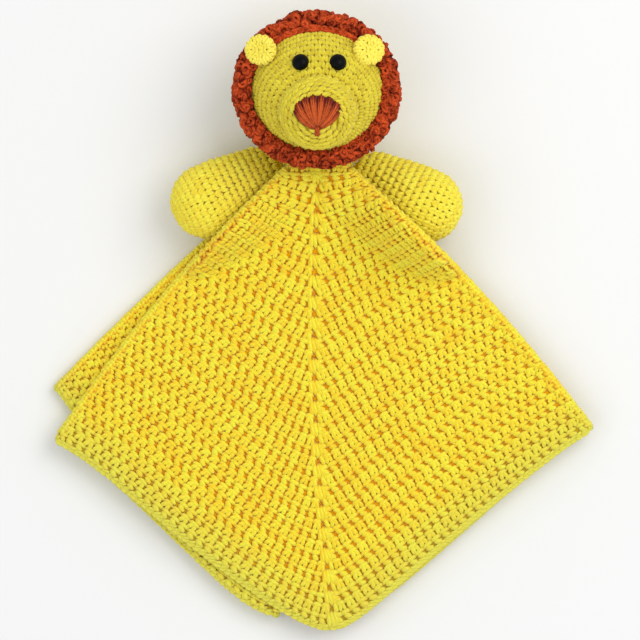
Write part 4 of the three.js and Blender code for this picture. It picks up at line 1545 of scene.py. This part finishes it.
@dataclass(frozen=True)
class Quarter:
    """One quarter of the folded square, from the gathered neck to its free edge."""

    left: tuple[float, float]
    tip: tuple[float, float]
    right: tuple[float, float]
    neck_half: float = 18.0
    neck_edge: float = -7.0
    curve: float = 4.3
    rounding: float = 3.0
    tip_rounding: float = 4.0
    draw_in: tuple[float, float] = (0.0, 0.0)
    skew: float = 1.5
    middle_bow: float = 0.0

    def at(self, across: np.ndarray, out: np.ndarray, inset: float = 0.0) -> np.ndarray:
        """Plan places.

        Args:
            across: share from the left fold, 0, to the right fold, 1.
            out: share from the neck, 0, to the free edge, 1.
            inset: sideways shift at the middle.

        Returns:
            xy rows in millimetres.
        """
        across, out = np.broadcast_arrays(np.asarray(across, float), np.asarray(out, float))
        left, tip, right = (np.array(v) for v in (self.left, self.tip, self.right))
        a = np.clip(2 * across, 0, 1)[..., None]
        b = np.clip(2 * across - 1, 0, 1)[..., None]
        edge = left + (tip - left) * a + (right - tip) * b
        aside = 2 * across - 1
        near = 1 - np.abs(aside)
        length = np.linalg.norm(edge, axis=-1)
        pull = self.rounding * np.abs(aside) ** 12 + self.tip_rounding * near**16
        wave = np.sin(np.pi * np.maximum(0, near) ** self.skew)
        pull = pull + np.where(across < 0.5, self.draw_in[0], self.draw_in[1]) * wave
        edge = edge * (1 - pull / length)[..., None]
        neck = np.stack([aside * self.neck_half, np.full_like(across, self.neck_edge)], -1)
        place = neck + (edge - neck) * out[..., None]
        bow = self.curve * np.sin(np.pi * out) * aside**3
        sway = inset + self.middle_bow * np.sin(np.pi * out)
        place[..., 0] += bow + sway * near
        place[..., 1] += np.abs(bow)
        return place


@dataclass
class Blanket:
    """The square crocheted from its centre and folded in quarters. Lengths in millimetres."""

    origin: Origin
    planter: Planter
    arms: Sequence[Arm]
    body: str = "blanket_body"
    thick: float = 1.6
    cad_thick: float = 3.0
    pitch: float = 3.8
    stitch: float = 6.5
    row: float = 5.2
    yarn: float = 3.0
    tent_height: float = 6.5
    neck_rise: float = 9.0
    tent_length: float = 62.0
    ease: float = 0.9
    wave: float = 1.6
    bulge: float = 2.1
    rows: int = 43
    first_row: float = 0.42
    flap_row: int = 36
    middle_gap: float = 2.4
    edge_pitch: float = 4.1
    edge_sink: float = 1.6
    bottom_flat: float = 0.16
    neck_edge: float = -7.0
    neck_radius: float = 13.2
    gather_half: float = 19.6
    gather_edge: float = -11.0
    pleat: float = 0.035

    def __post_init__(self) -> None:
        """Sets out the quarters."""
        self.front = Quarter(
            (-156.8, -169.5), (9.8, -294.0), (163.4, -162.8), rounding=-3.5, tip_rounding=8.0,
            draw_in=(-5.5, 2.0), middle_bow=-6.8,
        )
        self.back = Quarter(
            (-162.0, -143.5), (6.0, -284.0), (153.0, -167.5), curve=1.2, rounding=5.0
        )
        left_tip, right_tip = (-24.5, -282.0), (28.5, -276.0)
        self.upper_left = Quarter(
            self.front.left, left_tip, self.front.right, tip_rounding=3.0,
            draw_in=(-3.5, 0.0), skew=3.0,
        )
        self.upper_right = Quarter(
            self.front.left, right_tip, self.front.right, rounding=-3.0, draw_in=(0.0, -0.3)
        )
        self.lower_left = Quarter(
            self.back.left, left_tip, self.back.right, curve=1.2, tip_rounding=3.0,
            draw_in=(-3.5, 0.0), skew=3.0,
        )
        self.lower_right = Quarter(self.back.left, right_tip, self.back.right, curve=1.2)

    def height(self, level: int, plan: np.ndarray, out: np.ndarray) -> np.ndarray:
        """Mid height of a layer.

        Args:
            level: 0 for the lowest layer to 3 for the front one.
            plan: xy rows.
            out: shares from the neck.

        Returns:
            The heights.
        """
        base = np.full(plan.shape[:-1], self.cad_thick / 2 + level * self.pitch)
        if level < 2:
            return base
        x, y = plan[..., 0], plan[..., 1]
        fall = np.maximum(0, 1 - np.maximum(0, self.neck_edge - y) / self.tent_length)
        ridge = (self.tent_height + self.neck_rise * fall) * fall**2 * (3 - 2 * fall)
        soft = np.sqrt(self.arms[0].cloth(x, y) ** 2 + self.arms[1].cloth(x, y) ** 2 + ridge**2)
        ease = 1 + (level - 2) * self.ease * self.pitch / (2 * self.arms[0].hand_deep)
        lift = 0.0
        if level == 3:
            lift = self.wave * (0.5 + 0.5 * np.sin(3 * np.pi * x / self.front.right[0])) * out**3
        return base + soft * ease + lift

    def sheet_at(
        self,
        quarter: Quarter,
        level: int,
        across: float | np.ndarray,
        out: float | np.ndarray,
        inset: float = 0.0,
    ) -> np.ndarray:
        """Mid points of the cloth.

        Args:
            quarter: the quarter.
            level: its layer.
            across: shares across.
            out: shares out.
            inset: sideways shift at the middle.

        Returns:
            xyz rows.
        """
        across, out = np.broadcast_arrays(np.asarray(across, float), np.asarray(out, float))
        plan = quarter.at(across, out, inset)
        return np.concatenate([plan, self.height(level, plan, out)[..., None]], -1)

    def build(self) -> None:
        """Makes the cloth, its stitches and the chain along its edge."""
        cloth = self._cloth()
        pieces = [self._edges(), self._fold_stitches(), self._gathers()]
        for half, word in ((0, "left"), (1, "right")):
            pieces.append(self._stitches(f"front_{word}_stitches", self.front, 3, 1, half))
            pieces.append(self._stitches(f"back_{word}_stitches", self.back, 0, -1, half))
        # What shows of the inner layers: name, quarter, level, half, side, and the places
        # by their share across, a, and out, o
        rims = (
            ("lower_left_stitches", self.lower_left, 1, 0, 1, lambda a, o: a < 0.24 or o > 0.8),
            ("lower_right_stitches", self.lower_right, 1, 1, 1, lambda a, o: a > 0.88 or o > 0.85),
            ("upper_left_rim", self.upper_left, 2, 0, 1, lambda a, o: o > 0.9),
            ("upper_right_rim", self.upper_right, 2, 1, 1, lambda a, o: o > 0.94),
            ("upper_left_under", self.upper_left, 2, 0, -1, lambda a, o: a < 0.2 or o > 0.86),
            ("upper_right_under", self.upper_right, 2, 1, -1, lambda a, o: a > 0.9 or o > 0.9),
            ("lower_left_under", self.lower_left, 1, 0, -1, lambda a, o: o > 0.88),
            ("lower_right_under", self.lower_right, 1, 1, -1, lambda a, o: o > 0.92),
        )
        for name, quarter, level, half, facing, keep in rims:
            pieces.append(self._stitches(name, quarter, level, facing, half, keep))

    def _cloth(self) -> bpy.types.Object:
        """The whole square as one thin closed sheet.

        Returns:
            The piece.
        """
        out = np.linspace(0, 1, 90)
        columns: list[np.ndarray] = []
        # Each layer in the order of the cloth: across from where to where, in how many
        # columns, the side it is shifted to, and the way the next fold bulges
        path = (
            (self.front, 3, 0.0, 1.0, 61, 0.0, FOLD_RIGHT),
            (self.upper_right, 2, 1.0, 0.5, 31, self._inset(2, 1), -ACROSS),
            (self.lower_right, 1, 0.5, 1.0, 31, self._inset(1, 1), FOLD_RIGHT),
            (self.back, 0, 1.0, 0.0, 61, 0.0, FOLD_LEFT),
            (self.lower_left, 1, 0.0, 0.5, 31, self._inset(1, 0), ACROSS),
            (self.upper_left, 2, 0.5, 0.0, 31, self._inset(2, 0), FOLD_LEFT),
        )
        for i, (quarter, level, start, stop, steps, inset, way) in enumerate(path):
            for across in np.linspace(start, stop, steps):
                columns.append(self.sheet_at(quarter, level, across, out, inset))
            following, below, other, *_ = path[(i + 1) % len(path)]
            inset = inset if stop == 0.5 else 0.0
            a = self.sheet_at(quarter, level, stop, out, inset)
            b = self.sheet_at(following, below, other, out, inset)
            for turn in np.linspace(0, math.pi, 7)[1:-1]:
                push = way * self.bulge * math.sin(turn)
                columns.append((a + b) / 2 + (a - b) / 2 * math.cos(turn) + push)
        mid = np.array(columns)
        du = np.roll(mid, -1, 0) - np.roll(mid, 1, 0)
        dv = np.gradient(mid, axis=1)
        normal = np.cross(du, dv)
        normal /= np.linalg.norm(normal, axis=-1)[..., None] + 1e-9
        outer, inner = mid + normal * self.thick / 2, mid - normal * self.thick / 2
        ring = np.concatenate([outer, inner[:, ::-1]], 1)
        skin = Skin()
        skin.grid(ring, round_i=True, round_j=True)
        cloth = skin.build("blanket_cloth", BLANKET_HOLE_SHADE, self.origin)
        # Painted rim shade on the cloth, growing towards the free edge.
        painted_rim = painted_rim_amount(np.concatenate([out, out[::-1]]))
        keep_values(cloth.data, "painted_rim_shade", np.tile(painted_rim, len(columns)))
        fix_normals(cloth)
        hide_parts("blanket")
        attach(cloth, self.body)
        return cloth

    def _inset(self, level: int, half: int) -> float:
        """Sideways place of an inner layer at the fold between the flaps."""
        if level in (0, 3):
            return 0.0
        return (self.bulge + self.cad_thick / 2 + 0.3) * (1 if half else -1)

    def _frame_at(
        self,
        quarter: Quarter,
        level: int,
        across: float,
        out: float,
        facing: int,
        inset: float = 0.0,
    ) -> tuple[np.ndarray, np.ndarray, np.ndarray, tuple[float, float]]:
        """Place and directions of one stitch, and the cloth's size for a unit of each share.

        Args:
            quarter: the quarter.
            level: its layer.
            across: share across.
            out: share out.
            facing: 1 for the upper side, -1 for the lower side.
            inset: sideways shift at the middle.

        Returns:
            The point, the normal, the row direction and both sizes in millimetres.
        """
        step = 0.008
        a = np.array([across, across + step, across - step, across, across])
        o = np.array([out, out, out, out + step, out - step])
        five = self.sheet_at(quarter, level, a, o, inset)
        row = five[1] - five[2]
        across_row = five[3] - five[4]
        normal = np.cross(across_row, row)
        normal *= np.sign(normal[2]) * facing / (np.linalg.norm(normal) + 1e-9)
        point = five[0] + normal * (self.thick / 2 + 0.1)
        along = unit(row)
        rise = across_row - along * (across_row @ along)
        wide = float(np.linalg.norm(row)) / (2 * step)
        high = float(np.linalg.norm(rise)) / (2 * step)
        return point, normal, along * facing, (wide, high)

    def _stitches(
        self,
        name: str,
        quarter: Quarter,
        level: int,
        facing: int,
        half: int,
        keep: Callable[[float, float], bool] | None = None,
    ) -> bpy.types.Object:
        """The rows on one half of one face of one layer.

        Args:
            name: name of the piece.
            quarter: the quarter.
            level: its layer.
            facing: 1 for the upper side, -1 for the lower side.
            half: 0 left of the middle line, 1 right of it.
            keep: says which places are stitched, or none for all.

        Returns:
            The piece.
        """
        fields = {
            kind: StitchField(StitchShape(kind, self.stitch, self.row, self.yarn))
            for kind in OPEN_KINDS
        }
        rows, inset = self.rows, self._inset(level, half)
        flat = self.bottom_flat if level == 0 and facing < 0 else 1.0
        for i in range(-1 if level == 3 else 0, rows):
            out = (i + self.first_row) / rows
            odd = i % 2
            # Painted rim shade of this row, growing towards the free edge.
            painted_rim_shade = float(painted_rim_amount(out))
            ends = quarter.at(np.array([0.5 * half, 0.5 * half + 0.5]), np.array([out, out]))
            length = float(np.linalg.norm(ends[1] - ends[0]))
            count = max(3, round(length / self.stitch))
            places = [(j + (0.25 if odd else 0.75)) / count for j in range(count)]
            if odd == half:
                places.append(float(half))
            for share in places:
                across = 0.5 * half + 0.5 * min(max(share, 0.002), 0.998)
                if keep is not None and not keep(across, out):
                    continue
                if abs(across - 0.5) * length * 2 < self.middle_gap:
                    continue
                kind = StitchKind.UPRIGHT if odd else StitchKind.TURNED
                wide, high = self._frame_at(quarter, level, across, out, facing, inset)[3]
                pairs = max(1, round(wide * 0.5 / count / self.stitch))
                tiers = max(1, round(high / rows / self.row / 1.05))
                for k in range(pairs * tiers):
                    a = across + ((k % pairs + 0.5) / pairs - 0.5) * 0.5 / count
                    o = out + ((k // pairs + 0.5) / tiers - 0.5) / rows
                    point, normal, row, (wide, high) = self._frame_at(
                        quarter, level, a, o, facing, inset
                    )
                    wide, high = wide * 0.5 / count / self.stitch, high / rows / self.row
                    fields[kind].add(point, normal, row, (wide / pairs, high / tiers, flat), painted_rim_shade)
            if half == 0 and level in (0, 3):
                for shift in (-0.55, 0.55) if odd else (-0.45, 0.0, 0.45):
                    across = 0.5 + shift * self.stitch / (400 * out + 30)
                    point, normal, row, (_, high) = self._frame_at(
                        quarter, level, across, out, facing
                    )
                    size = (1.0, (0.95 if odd else 1.3) * high / rows / self.row, flat)
                    fields[StitchKind.POST].add(point, normal, row, size, painted_rim_shade)
        return self.planter.plant(name, list(fields.values()), BLANKET_YARN, self.body)

    def _gathers(self) -> bpy.types.Object:
        """The gathered centre of the square between blanket and head.

        Returns:
            The piece.
        """
        deep = Head.halves[2]
        middle = np.array([0, Head.rise, deep - Head.rest_cut])
        seat = middle + NECK_OUT * np.array([1, Head.halves[1], deep]) - NECK_OUT * 0.6
        crown = float(self.height(3, np.array([0.0, self.neck_edge]), np.array(0.0))) + 1.2
        rings = []
        for share in np.linspace(0, 1, 14):
            ring = []
            for turn in TURN * np.arange(96) / 96:
                pleat = self.pleat * math.sin(turn * 16) * math.sin(math.pi * min(1, share + 0.2))
                c, k = math.cos(turn) * (1 + pleat), math.sin(turn) * (1 + pleat)
                round_end = seat + (np.array([c, 0, 0]) + NECK_UP * k) * self.neck_radius
                wide = math.copysign(abs(c) ** 0.6, c) * self.gather_half
                high = math.copysign(abs(k) ** 0.6, k) * (crown - 1.0) / 2
                flat_end = np.array([wide, self.gather_edge, (crown + 1.0) / 2 + high])
                ring.append(flat_end + (round_end - flat_end) * share)
            rings.append(ring)
        grid = np.array(rings)
        skin = Skin()
        skin.closed(grid)
        base = skin.build("gathered_centre", BLANKET_HOLE_SHADE, self.origin)
        fix_normals(base)
        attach(base, self.body)
        places = StitchField(GATHER_STITCH)
        for i in range(1, 13, 2):
            for j in range(0, 96, 4):
                k = (j + (2 if i % 4 == 1 else 0)) % 96
                ahead = grid[i, (k + 1) % 96] - grid[i, k - 1]
                further = grid[i + 1, k] - grid[i - 1, k]
                normal = np.cross(ahead, further)
                normal *= np.sign(normal @ (grid[i, k] - grid[i].mean(0)))
                normal /= np.linalg.norm(normal) + 1e-9
                if grid[i, k][2] + 2 * normal[2] > 2.6:
                    places.add(grid[i, k] + normal * 0.1, normal, ahead)
        return self.planter.plant("gathered_stitches", [places], BLANKET_YARN, self.body)

    def _edges(self) -> bpy.types.Object:
        """The chain along every free edge.

        Returns:
            The piece.
        """
        chain = StitchField(EDGE_CHAIN)
        layers = (
            (self.front, 3, 0.0, 1.0),
            (self.upper_left, 2, 0.0, 0.5),
            (self.upper_right, 2, 0.5, 1.0),
            (self.lower_left, 1, 0.0, 0.5),
            (self.lower_right, 1, 0.5, 1.0),
            (self.back, 0, 0.0, 1.0),
        )
        for quarter, level, start, stop in layers:
            inset = self._inset(level, start > 0)
            shares = np.linspace(start, stop, 400)
            line = self.sheet_at(quarter, level, shares, np.full(400, 1.0), inset)
            inner = self.sheet_at(quarter, level, shares, np.full(400, 0.97), inset)
            gaps = np.linalg.norm(np.diff(line, axis=0), axis=1)
            length = np.concatenate([[0], np.cumsum(gaps)])
            count = round(length[-1] / self.edge_pitch)
            for j in range(count):
                spot = np.interp((j + 0.5) * length[-1] / count, length, np.arange(400))
                k = int(spot)
                away = unit(line[k] - inner[k])
                under = self.edge_sink if level in (1, 2) else 0.0
                leans = ((0.9, 0.4 - under), (-0.3, 0.9 - under))
                for lean, push in leans if level else leans[:1]:
                    turned = UP * lean + away * (1 - abs(lean) * 0.6)
                    # The edge chain takes the full painted rim shade.
                    chain.add(line[k] + away * push, turned, away, painted_rim_shade=1.0)
        return self.planter.plant("blanket_edge", [chain], BLANKET_YARN, self.body, change=0.05)

    def _fold_stitches(self) -> bpy.types.Object:
        """The stitches that run round the four outer folds and the two inner ones.

        Returns:
            The piece.
        """
        places = StitchField(StitchShape(StitchKind.UPRIGHT, self.stitch, self.row, self.yarn))
        # Upper layer and its level, the layer below it, share across, way out, first row,
        # sideways shift
        folds = (
            (self.front, 3, self.upper_left, 0.0, FOLD_LEFT, 0, 0.0),
            (self.front, 3, self.upper_right, 1.0, FOLD_RIGHT, 0, 0.0),
            (self.lower_left, 1, self.back, 0.0, FOLD_LEFT, 0, 0.0),
            (self.lower_right, 1, self.back, 1.0, FOLD_RIGHT, 0, 0.0),
            (self.upper_left, 2, self.lower_left, 0.5, ACROSS, self.flap_row, self._inset(1, 0)),
            (self.upper_right, 2, self.lower_right, 0.5, -ACROSS, self.flap_row, self._inset(1, 1)),
        )
        for high, top, low, across, way, first, inset in folds:
            bottom = top - 1
            steps = [(i + self.first_row) / self.rows for i in range(first, self.rows)]
            for step in steps[:]:
                near = np.array([step, step - 1 / self.rows])
                pair = self.sheet_at(high, top, across, near, inset)
                if bottom and np.linalg.norm(pair[0] - pair[1]) > 1.45 * self.row:
                    steps.append(step - 0.5 / self.rows)
            for step in steps:
                out = np.array([step, step + 0.4 / self.rows])
                a = self.sheet_at(high, top, across, out, inset)
                b = self.sheet_at(low, bottom, across, out, inset)
                mid = (a[0] + b[0]) / 2 + way * (self.bulge + self.thick / 2 - 0.2)
                row = np.cross(a[1] - a[0], way)
                for lift in (-0.36, 0.36) if bottom else (0.0, 0.4):
                    spot = mid + UP * lift * self.stitch - way * 0.8
                    size = (1.0 if bottom else 0.8, 1.0, 1.0)
                    # Painted rim shade of this row; the stitches round the fold's end below take it
                    # in full.
                    painted_rim = float(painted_rim_amount(out[0]))
                    row_way = row * (1 if across else -1)
                    places.add(spot, UP * 1.6 * lift + way, row_way, size, painted_rim)
            rim = np.array([0.97, 1.0])
            a = self.sheet_at(high, top, across, rim, inset)
            b = self.sheet_at(low, bottom, across, rim, inset)
            away = unit(a[1] - a[0])
            for turn in (0.25 * math.pi, 0.5 * math.pi, 0.75 * math.pi):
                bulge = way * self.bulge * math.sin(turn)
                spot = (a[1] + b[1]) / 2 + (a[1] - b[1]) / 2 * math.cos(turn) + bulge
                lean = toward(turn, UP, way)
                places.add(spot - away * 0.4, away + lean, np.cross(away, lean), (0.6, 0.6, 1), 1.0)
        return self.planter.plant("blanket_folds", [places], BLANKET_YARN, self.body)


@dataclass
class Studio:
    """Floor, lamps, world and the camera that looks straight down.

    The picture's width and middle are in millimetres of the toy's frame, and the camera's
    height and the plane in focus are in metres.
    """

    origin: Origin
    picture_wide: float = 393.6
    height: float = 7.0
    middle: tuple[float, float] = (1.23, -97.8)
    plane: float = 0.035

    def camera(self) -> None:
        """The camera at the photograph's view."""
        data = bpy.data.cameras.new("camera")
        data.sensor_width = 36.0
        data.lens = 36.0 * (self.height - self.plane) / (self.picture_wide * MM)
        data.clip_end = 50.0
        camera = put("camera", data)
        x, y, _ = self.origin.place(np.array([*self.middle, 0.0]))
        camera.location = (x, y, self.height)
        bpy.context.scene.camera = camera

    def floor(self) -> None:
        """A plain pale floor that keeps the shadow."""
        mesh = bpy.data.meshes.new("floor")
        s = 6.0
        mesh.from_pydata([(-s, -s, 0), (s, -s, 0), (s, s, 0), (-s, s, 0)], [], [(0, 1, 2, 3)])
        work = Shading("floor_paper")
        work.shader.inputs["Base Color"].default_value = (0.82, 0.817, 0.805, 1)
        work.shader.inputs["Roughness"].default_value = 0.9
        work.shader.inputs["Specular IOR Level"].default_value = 0.1
        mesh.materials.append(work.material)
        floor = put("floor", mesh)
        floor.location = (0, 0, -0.0004)

    def lamp(
        self,
        name: str,
        place: Triple,
        size: float,
        power: float,
        colour: Triple,
    ) -> None:
        """One soft square lamp aimed at the toy.

        Args:
            name: the lamp's name.
            place: where it stands, in metres.
            size: its side, in metres.
            power: its power in watts.
            colour: its colour.
        """
        data = bpy.data.lights.new(name, "AREA")
        data.shape = "SQUARE"
        data.size = size
        data.energy = power
        data.color = colour
        lamp = put(name, data)
        lamp.location = place
        lamp.rotation_euler = (-Vector(place)).to_track_quat("-Z", "Y").to_euler()

    def build(self) -> None:
        """Sets up the whole studio."""
        scene = bpy.context.scene
        scene.view_settings.view_transform = "Standard"
        world = bpy.data.worlds.new("studio_world")
        world.use_nodes = True
        world.node_tree.nodes["Background"].inputs["Color"].default_value = (0.96, 0.98, 1, 1)
        world.node_tree.nodes["Background"].inputs["Strength"].default_value = 0.80
        scene.world = world
        self.floor()
        self.lamp("window", (1.1, 0.7, 1.7), 1.6, 20.0, (1.0, 0.98, 0.95))
        self.lamp("fill", (-1.3, -0.6, 1.8), 1.8, 8.0, (0.98, 0.98, 1.0))


def dress_hidden() -> None:
    """Gives the stuffing and the washers, which stay as the frame has them, their finishes."""
    nodes = frame["nodes"]
    finishes = {name: STUFFING for name in nodes if name.endswith("_filling")}
    finishes |= {name: WASHER_WHITE for name in nodes if name.endswith("_washer")}
    for name, finish in finishes.items():
        nodes[name].data.materials.clear()
        nodes[name].data.materials.append(material_of(finish))


def main() -> None:
    """Builds the studio, then the toy piece by piece."""
    logging.basicConfig(level=logging.INFO, format="%(message)s")
    middle = box_middle("head_cover") / MM
    origin = Origin(float(middle[0]), float(middle[1]) - Head.rise)
    studio = Studio(origin)
    studio.camera()
    studio.build()
    planter = Planter(origin)
    arms = [
        Arm(origin, planter, "left", -1, (-35.0, -8.5), math.radians(26), hand=21.4),
        Arm(origin, planter, "right", 1, (34.0, -11.5), math.radians(26), hand=21.2, reach=35.8),
    ]
    Blanket(origin, planter, arms).build()
    for arm in arms:
        arm.build()
    Head(origin, planter).build()
    dress_hidden()


if __name__ == "__main__":
    main()
